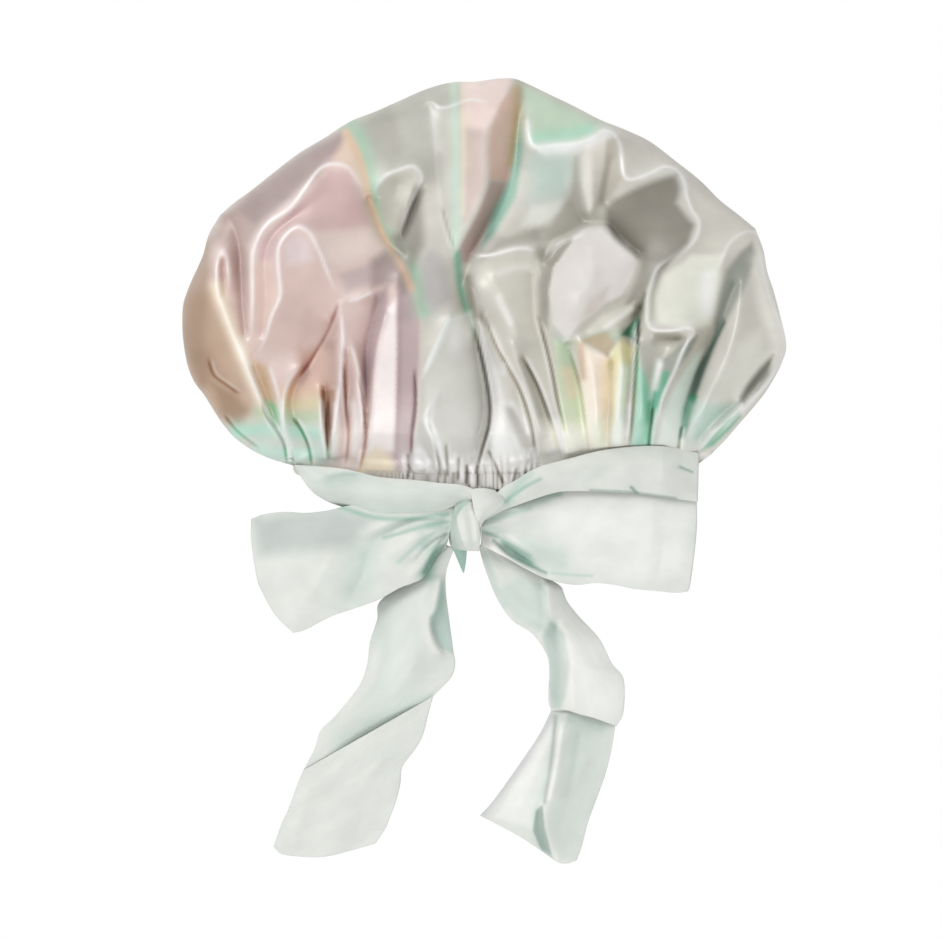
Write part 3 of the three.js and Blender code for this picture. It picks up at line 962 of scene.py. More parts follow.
CROWN_FOLDS: tuple[FoldLine, ...] = (
    FoldLine("left lobe crest", ((252, 343), (254, 301), (253, 268), (256, 248), (268, 227), (292, 211),
        (305, 193), (320, 172), (334, 166), (349, 170), (359, 184), (369, 197)), (3, 6, 6, 7, 8, 8, 6, 4),
        glow=0.65),
    FoldLine("left lobe hollow", ((266, 338), (268, 300), (266, 268), (273, 240), (292, 222), (312, 206),
        (330, 196), (350, 204)), (1, 3, 4, 5, 5, 3)),
    FoldLine("inner arch", ((254, 360), (264, 346), (273, 318), (282, 297), (280, 270), (280, 250),
        (288, 236), (299, 229), (311, 235), (321, 254), (331, 279), (341, 301)),
        (1, 5, 7, 8, 9, 9, 9, 7, 5), glow=0.65),
    FoldLine("arch floor", ((300, 250), (302, 280), (304, 315)), (7, 6, 4)),
    FoldLine("far left loop", ((231, 300), (230, 275), (228, 258), (224, 252), (219, 262), (219, 280),
        (222, 298), (234, 332), (252, 376), (267, 412), (284, 447)), (2, 5, 7, 7, 6, 6, 6, 5, 5, 4, 3),
        glow=0.55),
    FoldLine("far left loop inside", ((225, 264), (225, 280), (226, 298)), (3, 2, 2)),
    FoldLine("dark valley by the loop", ((226, 212), (236, 228), (241, 250), (243, 280), (245, 310),
        (247, 335)), (0, -3, -4, -4, -3, -1)),
    FoldLine("shoulder crease", ((210, 352), (218, 372), (230, 384), (244, 394)), (0, -4, -4, -1)),
    FoldLine("valley under the loop", ((256, 368), (266, 392), (275, 417), (290, 448)), (-2, -5, -7, -5)),
    FoldLine("left tongue edge", ((270, 364), (277, 385), (281, 402)), (3, 5, 3), glow=0.55),
    FoldLine("right tongue edge", ((303, 366), (291, 382), (285, 404), (283, 430), (295, 455)),
        (5, 5, 4, 3, 2), glow=0.5),
    FoldLine("valley by the tongue", ((334, 320), (322, 345), (312, 364), (297, 386), (292, 405),
        (300, 430), (311, 460)), (-2, -4, -4, -3, -3, -4, -4)),
    FoldLine("first pleat step", ((327, 458), (325, 430), (322, 389)), (4, 5, 5), (-6, -6, -4)),
    FoldLine("bright pleat", ((331, 456), (335, 425), (342, 380), (344, 342), (341, 305)), (4, 6, 7, 7, 6),
        glow=0.55),
    FoldLine("valley by the bright pleat", ((345, 460), (348, 420), (350, 385), (348, 352)),
        (-5, -4, -2, 1)),
    FoldLine("second pleat", ((350, 338), (358, 365), (364, 393), (365, 420), (361, 452)), (5, 6, 6, 6, 4),
        glow=0.35),
    FoldLine("dark wedge", ((380, 300), (372, 328), (368, 355), (368, 405), (363, 450)),
        (0, -3, -5, -5, -4)),
    FoldLine("streak", ((348, 303), (360, 300), (374, 293)), (6, 7, 5), glow=0.6),
    FoldLine("wide pleat left", ((386, 317), (377, 352), (373, 403), (367, 452)), (6, 6, 6, 4)),
    FoldLine("wide pleat step", ((394, 455), (397, 410), (398, 364), (400, 310), (400, 274)),
        (4, 5, 6, 5, 4)),
    FoldLine("mauve panel edge", ((414, 440), (419, 400), (421, 350), (420, 319), (416, 290)),
        (3, 4, 5, 5, 3)),
    FoldLine("bright diagonal", ((450, 316), (437, 345), (423, 376)), (6, 7, 5), glow=0.6),
    FoldLine("lower ridge", ((434, 398), (425, 420), (437, 443), (445, 468)), (5, 6, 5, 4), glow=0.55),
    FoldLine("centre lap", ((470, 289), (477, 320), (483, 352), (490, 397), (489, 423), (482, 446),
        (476, 470)), (5, 6, 6, 6, 6, 5, 4), (-6, -7, -7, -8, -8, -6, -5)),
    FoldLine("centre ridge", ((480, 325), (492, 362), (503, 400), (508, 440)), (5, 5, 5, 4), glow=0.3),
    FoldLine("first long crease", ((483, 318), (494, 342), (512, 376), (528, 430), (535, 456)),
        (0, -2, -3, -5, -4)),
    FoldLine("bright patch", ((492, 280), (505, 305), (516, 335)), (5, 5, 5)),
    FoldLine("ridge between creases", ((512, 345), (528, 392), (541, 435)), (5, 5, 4)),
    FoldLine("second long crease", ((521, 360), (535, 391), (549, 433), (556, 455)), (-1, -4, -5, -4)),
    FoldLine("facet left edge", ((537, 276), (539, 319), (547, 346), (559, 405), (567, 452)),
        (3, 3, 3, 3, 3), (-2, -2, -2, -3, -3)),
    FoldLine("facet top edge", ((636, 259), (617, 244), (604, 229), (585, 231), (573, 238), (556, 247),
        (546, 262)), (6, 7, 7, 7, 7, 6, 5), (-4, -5, -5, -4, -4, -3, -3), glow=0.5),
    FoldLine("facet right edge", ((566, 342), (578, 322), (590, 315), (613, 300), (631, 277), (636, 259)),
        (3, 3, 4, 4, 4, 4)),
    FoldLine("facet floor", ((590, 250), (592, 280), (575, 305)), (7, 7, 6)),
    FoldLine("strip by the facet", ((584, 333), (600, 314), (625, 302)), (3, 4, 3)),
    FoldLine("dark spot", ((640, 310), (632, 326), (626, 336)), (-4, -6, -4)),
    FoldLine("peach pleat crest", ((578, 343), (590, 365), (595, 400), (597, 440)), (6, 6, 6, 5)),
    FoldLine("peach pleat left valley", ((567, 346), (575, 380), (581, 420), (586, 446)), (-3, -5, -6, -5)),
    FoldLine("peach pleat right valley", ((610, 364), (609, 400), (606, 443)), (-5, -6, -6)),
    FoldLine("notch left", ((578, 342), (592, 352), (603, 357)), (6, 5, 4)),
    FoldLine("notch right", ((603, 357), (612, 342), (618, 332)), (4, 5, 5)),
    FoldLine("yellow pleat", ((620, 335), (620, 370), (617, 410), (616, 440)), (5, 6, 6, 5)),
    FoldLine("valley by the yellow pleat", ((629, 338), (631, 370), (628, 405), (627, 442)),
        (-5, -4, -4, -4)),
    FoldLine("mint pleat", ((634, 345), (639, 380), (640, 415), (638, 440)), (4, 5, 5, 4)),
    FoldLine("teal valley", ((664, 352), (656, 372), (651, 400), (647, 440)), (-2, -4, -4, -4)),
    FoldLine("hooked ridge", ((683, 249), (668, 260), (655, 271), (648, 290), (645, 310), (645, 322),
        (650, 330), (666, 332), (686, 329), (692, 334), (684, 346), (673, 372), (659, 403), (655, 435)),
        (8, 8, 7, 7, 6, 6, 6, 7, 8, 8, 7, 7, 6, 4), glow=0.7),
    FoldLine("under the hook", ((655, 345), (668, 343), (680, 342)), (-2, -3, -2)),
    FoldLine("green valley", ((736, 284), (728, 300), (720, 322), (709, 345), (696, 378), (687, 410),
        (682, 440)), (0, -4, -7, -8, -8, -7, -6)),
    FoldLine("right lobe rim", ((714, 274), (721, 258), (728, 244), (742, 234), (754, 234), (760, 246)),
        (5, 7, 7, 6, 5), glow=0.55),
    FoldLine("right edge ridge", ((757, 241), (760, 262), (766, 292), (776, 318), (784, 345), (773, 374),
        (747, 404), (706, 447)), (6, 6, 6, 6, 6, 6, 5, 3), glow=0.6),
    FoldLine("right face", ((738, 285), (735, 320), (725, 360), (705, 400), (690, 437)), (6, 6, 5, 5, 4)),
    FoldLine("right face hollow", ((770, 362), (755, 384), (742, 400)), (1, -1, -1)),
    FoldLine("bottom right valley", ((733, 404), (715, 420), (699, 438)), (-5, -6, -6)),
    FoldLine("grey lobe", ((376, 200), (377, 190), (386, 179), (401, 172), (414, 169), (422, 179),
        (418, 192), (409, 211), (401, 236)), (4, 6, 7, 7, 7, 7, 7, 6, 3), glow=0.6),
    FoldLine("grey lobe wedge", ((421, 190), (413, 210), (406, 232), (405, 250), (416, 275)),
        (0, -1, -1.5, -1, 0)),
    FoldLine("grey lobe inside", ((398, 185), (395, 205), (396, 225)), (4, 3, 1)),
    FoldLine("stripe notch", ((371, 199), (376, 215), (383, 235), (394, 248), (404, 256)),
        (-1, -5, -6, -6, -3)),
    FoldLine("pale strip edge", ((431, 104), (435, 140), (438, 182), (444, 219), (455, 252)),
        (3, 4, 4, 3, 2), glow=0.2),
    FoldLine("short top ridge", ((429, 103), (444, 110), (470, 102), (489, 105)), (6, 6, 6, 6), glow=0.5),
    FoldLine("pink strip crest", ((513, 84), (501, 105), (490, 132), (487, 155), (488, 182), (482, 204),
        (468, 232), (456, 252)), (2, 5, 6, 6, 6, 6, 5, 3)),
    FoldLine("long valley", ((524, 84), (521, 113), (516, 150), (508, 182), (495, 212), (482, 238),
        (470, 262), (463, 285), (465, 311), (473, 337)), (-1, -3, -5, -6, -7, -7, -7, -7, -6, -3)),
    FoldLine("far right ridge", ((526, 118), (527, 140), (534, 150), (555, 148), (577, 146), (592, 140),
        (604, 133), (614, 138), (620, 152), (622, 176), (630, 182), (648, 176), (663, 169), (675, 172),
        (683, 184), (685, 198), (690, 212), (697, 224), (694, 240), (680, 256), (664, 270)), (6, 8, 9, 9, 9,
        10, 10, 10, 9, 8, 8, 9, 10, 10, 9, 9, 9, 9, 8, 7, 6), glow=0.7),
    FoldLine("pale column", ((590, 150), (591, 175), (590, 205), (588, 215)), (9, 7, 4, 1)),
    FoldLine("hollow left of the column", ((553, 165), (566, 190), (577, 212), (583, 222)), (4, -1, -4, -6)),
    FoldLine("hollow right of the column", ((612, 160), (606, 185), (602, 205)), (4, -1, -5)),
    FoldLine("cross ridge", ((474, 257), (490, 257), (519, 250), (536, 253)), (5, 6, 6, 6), glow=0.65),
    FoldLine("hollow over the cross ridge", ((490, 243), (515, 236), (540, 238)), (-2, -3, -4)),
)

FOLD_MARGIN = 12.0
# Painted shade and highlight of the satin's folds, and the power by which painted shade deepens the satin's
# colour.
SATIN_PAINTED_FOLD_LIGHT = PaintedFoldLight(slope=0.15, hollow=0.03)
SHADE_POWER = 1.5
SATIN_BASE: Colour = (205, 202, 192)
# The crown's pastel colours, with painted shade and painted highlights on the facets between its folds.
CROWN_DYE_AND_PAINTED_LIGHT: tuple[DyeAndPaintedLightBand | DyeAndPaintedLightPatch, ...] = (
    DyeAndPaintedLightPatch(((352, 125), (430, 84), (530, 80), (530, 110), (445, 112), (440, 185), (425, 180), (412, 168),
        (390, 176), (378, 190), (368, 160)), (184, 183, 173), 8),
    DyeAndPaintedLightPatch(((690, 190), (755, 235), (760, 255), (722, 256), (700, 250), (697, 220)), (222, 219, 208), 8),
    DyeAndPaintedLightPatch(((757, 245), (790, 345), (740, 420), (700, 455), (735, 400), (770, 345), (755, 290)),
        (240, 238, 228), 10),
    DyeAndPaintedLightPatch(((735, 345), (760, 330), (765, 370), (735, 405), (705, 440), (690, 440), (710, 390)),
        (226, 225, 215), 8),
    DyeAndPaintedLightPatch(((186, 300), (222, 222), (250, 196), (345, 130), (372, 200), (400, 262), (420, 310), (414, 470),
        (292, 468), (240, 438), (190, 370)), (220, 194, 188), 10),
    DyeAndPaintedLightPatch(((180, 300), (215, 285), (222, 310), (240, 345), (252, 372), (262, 400), (240, 430), (218, 420),
        (190, 375)), (186, 158, 132), 9),
    DyeAndPaintedLightPatch(((180, 340), (186, 290), (205, 240), (214, 240), (212, 290), (206, 340), (212, 385), (200, 390)),
        (166, 140, 120), 8),
    DyeAndPaintedLightPatch(((215, 385), (235, 392), (250, 410), (240, 428), (222, 414)), (158, 130, 106), 7),
    DyeAndPaintedLightPatch(((222, 222), (250, 193), (300, 155), (342, 132), (352, 150), (330, 162), (310, 185), (290, 205),
        (262, 225), (250, 240), (240, 225)), (158, 141, 138), 7),
    DyeAndPaintedLightBand(((222, 236), (238, 228), (256, 214)), (156, 138, 134), 11, 0.5),
    DyeAndPaintedLightPatch(((356, 124), (392, 104), (404, 150), (392, 172), (374, 160)), (168, 166, 156), 8, 0.7),
    DyeAndPaintedLightPatch(((335, 160), (352, 128), (362, 150), (368, 180), (372, 198), (352, 172)), (232, 206, 186), 6),
    DyeAndPaintedLightPatch(((258, 245), (300, 208), (330, 174), (350, 174), (370, 202), (372, 228), (320, 232), (300, 226),
        (285, 240), (278, 262), (262, 300)), (206, 177, 175), 5),
    DyeAndPaintedLightPatch(((318, 238), (370, 232), (384, 250), (350, 268), (328, 264)), (228, 212, 204), 8),
    DyeAndPaintedLightPatch(((340, 276), (395, 258), (398, 275), (370, 287), (348, 294)), (190, 173, 171), 5),
    DyeAndPaintedLightPatch(((285, 242), (300, 234), (315, 242), (335, 282), (340, 302), (320, 330), (300, 352), (270, 360),
        (262, 345), (275, 315), (284, 295), (282, 265)), (212, 188, 180), 5),
    DyeAndPaintedLightPatch(((286, 246), (300, 236), (312, 244), (316, 262), (288, 268)), (220, 207, 209), 6, 0.7),
    DyeAndPaintedLightPatch(((256, 262), (275, 262), (280, 300), (268, 325), (256, 345)), (224, 198, 188), 5),
    DyeAndPaintedLightPatch(((224, 216), (240, 214), (256, 226), (250, 250), (249, 330), (243, 345), (239, 300), (232, 255)),
        (188, 166, 160), 5),
    DyeAndPaintedLightBand(((224, 262), (226, 295)), (190, 156, 146), 4, 0.8),
    DyeAndPaintedLightBand(((218, 288), (238, 340), (256, 384), (270, 412)), (242, 228, 204), 7, 0.9),
    DyeAndPaintedLightPatch(((338, 306), (330, 330), (316, 354), (335, 352), (341, 330)), (192, 162, 154), 5),
    DyeAndPaintedLightPatch(((326, 342), (338, 342), (341, 388), (322, 390)), (172, 142, 132), 6),
    DyeAndPaintedLightPatch(((300, 350), (330, 352), (334, 388), (320, 392), (298, 384)), (204, 169, 155), 8),
    DyeAndPaintedLightPatch(((346, 312), (366, 304), (372, 318), (364, 345), (352, 345)), (228, 204, 198), 5),
    DyeAndPaintedLightPatch(((376, 296), (388, 288), (390, 310), (379, 345), (372, 380), (367, 405), (362, 380), (366, 345)),
        (170, 149, 151), 4),
    DyeAndPaintedLightPatch(((389, 313), (397, 300), (398, 340), (396, 450), (368, 455), (374, 400), (380, 348)),
        (250, 240, 238), 4, 0.92),
    DyeAndPaintedLightPatch(((399, 275), (412, 300), (420, 320), (419, 380), (413, 470), (396, 470), (399, 350)),
        (186, 166, 168), 3),
    DyeAndPaintedLightPatch(((399, 272), (414, 285), (420, 312), (410, 326), (400, 322)), (180, 162, 163), 6, 0.8),
    DyeAndPaintedLightBand(((400, 285), (400, 340), (399, 400), (395, 458)), (164, 140, 144), 3, 0.6),
    DyeAndPaintedLightPatch(((372, 262), (398, 244), (414, 248), (422, 285), (404, 296), (396, 285), (372, 290)),
        (156, 138, 135), 6),
    DyeAndPaintedLightPatch(((336, 424), (366, 428), (360, 470), (330, 466)), (246, 226, 216), 12, 0.6),
    DyeAndPaintedLightPatch(((358, 472), (366, 456), (378, 446), (392, 460), (395, 474)), (244, 226, 190), 5),
    DyeAndPaintedLightBand(((286, 394), (302, 392), (318, 393)), (222, 188, 158), 9, 0.7),
    DyeAndPaintedLightBand(((288, 406), (304, 404), (318, 405)), (212, 200, 150), 8, 0.7),
    DyeAndPaintedLightBand(((262, 413), (290, 418), (318, 417)), (168, 198, 150), 8, 0.7),
    DyeAndPaintedLightBand(((238, 432), (262, 430), (290, 432), (322, 434)), (172, 220, 200), 10, 0.9),
    DyeAndPaintedLightBand(((262, 450), (290, 454), (322, 454)), (198, 236, 220), 11, 0.9),
    DyeAndPaintedLightPatch(((322, 391), (337, 390), (335, 412), (332, 432), (328, 450), (323, 432)), (178, 140, 116), 2, 0.9),
    DyeAndPaintedLightPatch(((256, 362), (270, 368), (274, 392), (272, 410), (264, 392)), (204, 176, 140), 6),
    DyeAndPaintedLightPatch(((266, 400), (278, 405), (285, 426), (276, 426)), (140, 198, 150), 4),
    DyeAndPaintedLightBand(((352, 128), (364, 150), (372, 185), (379, 215), (395, 245), (410, 262), (420, 290), (424, 312)),
        (164, 196, 172), 9, 0.9),
    DyeAndPaintedLightBand(((347, 134), (362, 165), (371, 205), (386, 242), (400, 262), (412, 290)), (224, 184, 156), 4, 0.75),
    DyeAndPaintedLightPatch(((378, 192), (390, 180), (412, 174), (420, 184), (408, 210), (400, 232), (385, 225)),
        (188, 185, 173), 3),
    DyeAndPaintedLightPatch(((414, 190), (421, 194), (424, 220), (424, 248), (413, 270), (396, 256), (393, 240), (404, 213)),
        (144, 139, 129), 7),
    DyeAndPaintedLightPatch(((420, 262), (432, 250), (446, 262), (452, 300), (432, 314), (424, 300)), (188, 184, 183), 6),
    DyeAndPaintedLightPatch(((445, 170), (460, 170), (462, 225), (456, 250), (448, 225)), (206, 210, 200), 5),
    DyeAndPaintedLightPatch(((462, 100), (502, 100), (490, 125), (484, 160), (486, 182), (478, 205), (464, 226), (461, 180)),
        (206, 186, 178), 5),
    DyeAndPaintedLightPatch(((462, 78), (512, 76), (505, 112), (486, 132), (462, 130)), (242, 222, 215), 6),
    DyeAndPaintedLightBand(((454, 82), (456, 150), (457, 215), (455, 246)), (198, 222, 204), 5, 0.7),
    DyeAndPaintedLightBand(((463, 84), (464, 150), (463, 215)), (230, 220, 196), 3, 0.6),
    DyeAndPaintedLightPatch(((500, 105), (515, 86), (521, 110), (517, 150), (508, 183), (490, 182), (486, 160), (490, 130)),
        (216, 188, 174), 3),
    DyeAndPaintedLightBand(((518, 90), (516, 130), (511, 165)), (192, 176, 134), 5, 0.7),
    DyeAndPaintedLightPatch(((490, 183), (508, 184), (497, 212), (483, 238), (470, 264), (459, 264), (462, 245), (478, 215)),
        (192, 172, 166), 3),
    DyeAndPaintedLightBand(((457, 256), (460, 285), (466, 308)), (120, 182, 155), 4, 0.8),
    DyeAndPaintedLightBand(((468, 312), (474, 336)), (126, 204, 174), 4, 0.75),
    DyeAndPaintedLightBand(((468, 280), (474, 312), (482, 342)), (128, 120, 104), 6, 0.9),
    DyeAndPaintedLightPatch(((520, 120), (524, 150), (515, 200), (495, 235), (480, 252), (492, 215), (510, 180)),
        (128, 176, 156), 4, 0.9),
    DyeAndPaintedLightPatch(((524, 86), (560, 104), (604, 126), (590, 142), (560, 147), (530, 148), (524, 125)),
        (190, 214, 188), 8),
    DyeAndPaintedLightBand(((535, 141), (560, 139), (588, 133)), (158, 216, 190), 8, 0.6),
    DyeAndPaintedLightPatch(((525, 155), (570, 152), (575, 180), (560, 200), (530, 205)), (194, 212, 204), 14),
    DyeAndPaintedLightPatch(((532, 208), (560, 202), (562, 214), (540, 226), (520, 228)), (224, 226, 217), 5),
    DyeAndPaintedLightPatch(((575, 160), (582, 200), (590, 226), (560, 240), (500, 250), (482, 262), (500, 241), (550, 226),
        (568, 200)), (166, 163, 152), 5),
    DyeAndPaintedLightPatch(((480, 268), (535, 257), (540, 270), (535, 300), (540, 345), (510, 335), (490, 295)),
        (214, 211, 199), 5),
    DyeAndPaintedLightPatch(((540, 262), (552, 250), (570, 238), (573, 246), (556, 266), (549, 290), (547, 330), (538, 320),
        (537, 285)), (150, 146, 134), 3),
    DyeAndPaintedLightPatch(((588, 142), (605, 137), (604, 165), (596, 200), (589, 216), (582, 190), (581, 160)),
        (228, 224, 214), 3),
    DyeAndPaintedLightPatch(((606, 142), (617, 140), (622, 180), (610, 200), (600, 206)), (188, 183, 170), 4),
    DyeAndPaintedLightPatch(((604, 206), (640, 188), (676, 175), (680, 190), (675, 205), (692, 228), (685, 245), (660, 268),
        (640, 262), (625, 245), (606, 229)), (134, 130, 119), 5, 0.95),
    DyeAndPaintedLightPatch(((652, 225), (690, 226), (686, 244), (664, 266), (645, 262)), (138, 134, 123), 4, 0.9),
    DyeAndPaintedLightPatch(((640, 262), (658, 268), (650, 290), (643, 310), (635, 330), (625, 305), (632, 285)),
        (150, 145, 134), 5),
    DyeAndPaintedLightPatch(((644, 252), (668, 258), (656, 282), (648, 300), (638, 290)), (138, 134, 123), 5),
    DyeAndPaintedLightBand(((648, 252), (658, 262)), (116, 112, 102), 8, 0.6),
    DyeAndPaintedLightBand(((644, 296), (638, 316), (635, 335)), (84, 82, 70), 3, 0.8),
    DyeAndPaintedLightPatch(((575, 238), (600, 230), (615, 245), (635, 262), (632, 275), (620, 298), (605, 305), (590, 318),
        (578, 325), (566, 342), (552, 325), (548, 295), (552, 270)), (226, 221, 216), 2, 0.9),
    DyeAndPaintedLightPatch(((588, 300), (606, 290), (604, 304), (590, 316), (580, 322)), (202, 195, 187), 5),
    DyeAndPaintedLightPatch(((584, 333), (600, 318), (632, 304), (633, 312), (612, 327), (590, 336)), (224, 222, 208), 3),
    DyeAndPaintedLightBand(((576, 334), (600, 311), (624, 298)), (170, 165, 155), 4, 0.4),
    DyeAndPaintedLightPatch(((566, 345), (590, 336), (630, 328), (620, 342), (600, 345), (578, 345)), (176, 190, 164), 4),
    DyeAndPaintedLightPatch(((620, 336), (637, 316), (637, 346), (628, 338)), (58, 130, 98), 2),
    DyeAndPaintedLightPatch(((662, 277), (690, 257), (722, 256), (715, 290), (708, 325), (695, 330), (656, 325), (653, 300)),
        (240, 241, 228), 5),
    DyeAndPaintedLightPatch(((645, 290), (655, 276), (651, 320), (645, 330), (640, 320)), (186, 186, 173), 3),
    DyeAndPaintedLightBand(((655, 337), (672, 339), (690, 340)), (164, 162, 150), 5, 0.7),
    DyeAndPaintedLightPatch(((750, 244), (754, 256), (748, 276), (738, 298), (728, 316), (714, 338), (713, 318), (718, 296),
        (724, 272), (738, 254)), (150, 154, 144), 4, 0.9),
    DyeAndPaintedLightBand(((757, 262), (764, 300), (776, 334)), (246, 244, 234), 9, 0.6),
    DyeAndPaintedLightPatch(((722, 318), (712, 337), (704, 354), (694, 372), (686, 392), (680, 412), (680, 437), (685, 436),
        (690, 412), (697, 390), (704, 370), (712, 350), (724, 324)), (64, 92, 78), 2.5, 0.95),
    DyeAndPaintedLightPatch(((687, 394), (680, 412), (679, 438), (684, 436), (692, 412), (696, 397)), (34, 140, 102), 3),
    DyeAndPaintedLightPatch(((771, 356), (757, 370), (744, 387), (736, 404), (743, 405), (757, 391), (768, 375)),
        (118, 118, 108), 4, 0.95),
    DyeAndPaintedLightPatch(((738, 411), (722, 423), (707, 440), (701, 451), (713, 446), (729, 430), (740, 417)),
        (14, 152, 104), 3),
    DyeAndPaintedLightPatch(((690, 405), (735, 405), (716, 424), (700, 444), (684, 444)), (190, 214, 203), 9),
    DyeAndPaintedLightPatch(((423, 378), (434, 350), (448, 318), (466, 316), (452, 335), (438, 358)), (238, 244, 238), 4),
    DyeAndPaintedLightPatch(((424, 384), (450, 327), (470, 314), (482, 350), (489, 400), (488, 425), (478, 450), (470, 474),
        (448, 474), (440, 450), (434, 440), (426, 418)), (221, 220, 213), 6, 0.9),
    DyeAndPaintedLightPatch(((478, 322), (494, 332), (512, 372), (528, 425), (538, 462), (520, 470), (496, 470), (492, 440),
        (497, 400), (489, 360)), (242, 240, 234), 6),
    DyeAndPaintedLightPatch(((492, 424), (505, 416), (522, 445), (530, 462), (500, 463)), (248, 247, 243), 5, 0.8),
    DyeAndPaintedLightPatch(((505, 408), (513, 408), (525, 428), (534, 448), (537, 464), (528, 462), (518, 440)),
        (200, 196, 190), 4),
    DyeAndPaintedLightBand(((483, 436), (478, 464)), (148, 145, 138), 7, 0.6),
    DyeAndPaintedLightBand(((457, 318), (454, 346)), (246, 246, 242), 8, 0.6),
    DyeAndPaintedLightBand(((483, 350), (488, 400), (485, 432)), (156, 154, 147), 7, 0.75),
    DyeAndPaintedLightPatch(((405, 452), (545, 454), (545, 494), (405, 490)), (212, 209, 204), 10, 0.75),
    DyeAndPaintedLightPatch(((366, 470), (545, 472), (545, 494), (366, 490)), (176, 172, 166), 5, 0.6),
    DyeAndPaintedLightBand(((419, 448), (422, 464)), (242, 240, 236), 4, 0.7),
    DyeAndPaintedLightBand(((404, 455), (405, 468)), (238, 226, 222), 3, 0.6),
    DyeAndPaintedLightPatch(((413, 432), (424, 422), (436, 444), (442, 470), (430, 474), (424, 450)), (192, 190, 184), 6),
    DyeAndPaintedLightPatch(((552, 340), (567, 348), (582, 400), (588, 450), (568, 458), (560, 410)), (222, 235, 202), 3),
    DyeAndPaintedLightBand(((560, 342), (566, 366)), (176, 206, 190), 7, 0.4),
    DyeAndPaintedLightPatch(((546, 424), (600, 424), (596, 466), (540, 470)), (255, 253, 240), 12, 0.8),
    DyeAndPaintedLightPatch(((610, 350), (622, 340), (631, 350), (624, 400), (612, 444), (605, 400)), (238, 232, 184), 4),
    DyeAndPaintedLightPatch(((578, 342), (592, 352), (607, 358), (610, 380), (608, 452), (590, 455), (582, 400)),
        (254, 240, 223), 4, 0.95),
    DyeAndPaintedLightBand(((566, 372), (572, 394)), (242, 224, 198), 6, 0.6),
    DyeAndPaintedLightBand(((580, 346), (582, 378)), (196, 160, 128), 4, 0.7),
    DyeAndPaintedLightBand(((597, 425), (599, 450)), (228, 240, 214), 9, 0.6),
    DyeAndPaintedLightPatch(((580, 341), (605, 333), (614, 345), (606, 357)), (190, 172, 142), 2),
    DyeAndPaintedLightBand(((611, 364), (611, 400), (609, 446)), (196, 182, 142), 3, 0.5),
    DyeAndPaintedLightBand(((622, 372), (619, 404), (617, 440)), (244, 252, 240), 7, 0.9),
    DyeAndPaintedLightPatch(((634, 346), (650, 395), (649, 446), (631, 446), (635, 400)), (152, 214, 188), 4),
    DyeAndPaintedLightBand(((641, 344), (643, 364)), (196, 196, 186), 7, 0.8),
    DyeAndPaintedLightBand(((657, 362), (650, 398)), (240, 248, 240), 3.5, 0.8),
    DyeAndPaintedLightPatch(((662, 360), (677, 347), (695, 337), (690, 350), (676, 370), (666, 389), (659, 385)),
        (140, 146, 136), 3),
    DyeAndPaintedLightPatch(((660, 372), (668, 372), (664, 392), (657, 412), (650, 424), (649, 405), (655, 388)),
        (74, 166, 130), 3),
    DyeAndPaintedLightBand(((655, 395), (650, 443)), (108, 182, 155), 4, 0.8),
    DyeAndPaintedLightPatch(((676, 382), (692, 358), (701, 350), (692, 380), (683, 409), (679, 446), (657, 446), (662, 412)),
        (222, 234, 225), 4),
)
# Grooves pressed into the crown, each with painted shade inside and a painted highlight on its lip.
CROWN_GROOVES_WITH_PAINTED_LIGHT: tuple[GrooveWithPaintedLight, ...] = (
    GrooveWithPaintedLight(((209, 357), (215, 375), (227, 385), (243, 396)), 0.3, 0.2, Side.LEFT, 0.5),
    GrooveWithPaintedLight(((224, 414), (237, 430), (250, 441), (262, 450)), 0.4, 0.1, Side.LEFT, 0.5),
    GrooveWithPaintedLight(((262, 400), (268, 416), (277, 430), (284, 443), (287, 466)), 1.3, 0.6, Side.LEFT),
    GrooveWithPaintedLight(((293, 416), (303, 432), (309, 448), (312, 468)), 1.3, 0.5, Side.LEFT),
    GrooveWithPaintedLight(((329, 396), (328, 425), (328, 450), (330, 464)), 0.6, 0.5, Side.RIGHT),
    GrooveWithPaintedLight(((345, 360), (347, 405), (349, 436), (345, 470)), 0.9, 0.4, Side.RIGHT),
    GrooveWithPaintedLight(((360, 372), (365, 412), (366, 440), (359, 474)), 1.0, 0.5, Side.RIGHT),
    GrooveWithPaintedLight(((415, 365), (416, 405), (412, 440), (411, 482)), 0.65, 0.2, Side.LEFT),
    GrooveWithPaintedLight(((472, 322), (482, 360), (489, 398), (489, 424), (482, 450), (473, 482)), 1.6, 0.4, Side.LEFT,
        1.6),
    GrooveWithPaintedLight(((484, 316), (495, 345), (507, 367), (520, 392), (530, 422), (538, 468)), 1.1, 0.6, Side.LEFT),
    GrooveWithPaintedLight(((520, 354), (535, 382), (545, 407), (555, 437), (563, 466)), 1.4, 0.6, Side.LEFT),
    GrooveWithPaintedLight(((536, 312), (549, 362), (557, 402), (565, 432), (571, 464)), 1.0, 0.4, Side.RIGHT),
    GrooveWithPaintedLight(((566, 344), (577, 380), (583, 412), (589, 456)), 0.5, 0.3, Side.LEFT),
    GrooveWithPaintedLight(((638, 316), (634, 380), (629, 452)), 1.0, 0.5, Side.RIGHT),
    GrooveWithPaintedLight(((652, 405), (650, 425), (648, 452)), 0.9, 0.5, Side.LEFT),
    GrooveWithPaintedLight(((681, 425), (679, 440), (678, 458)), 1.0, 0.5, Side.LEFT),
    GrooveWithPaintedLight(((442, 208), (447, 228), (455, 252)), 0.35, 0.2, Side.RIGHT, 0.4),
    GrooveWithPaintedLight(((341, 302), (330, 330), (316, 355), (300, 380)), 0.35, 0.1, Side.LEFT, 0.5),
)
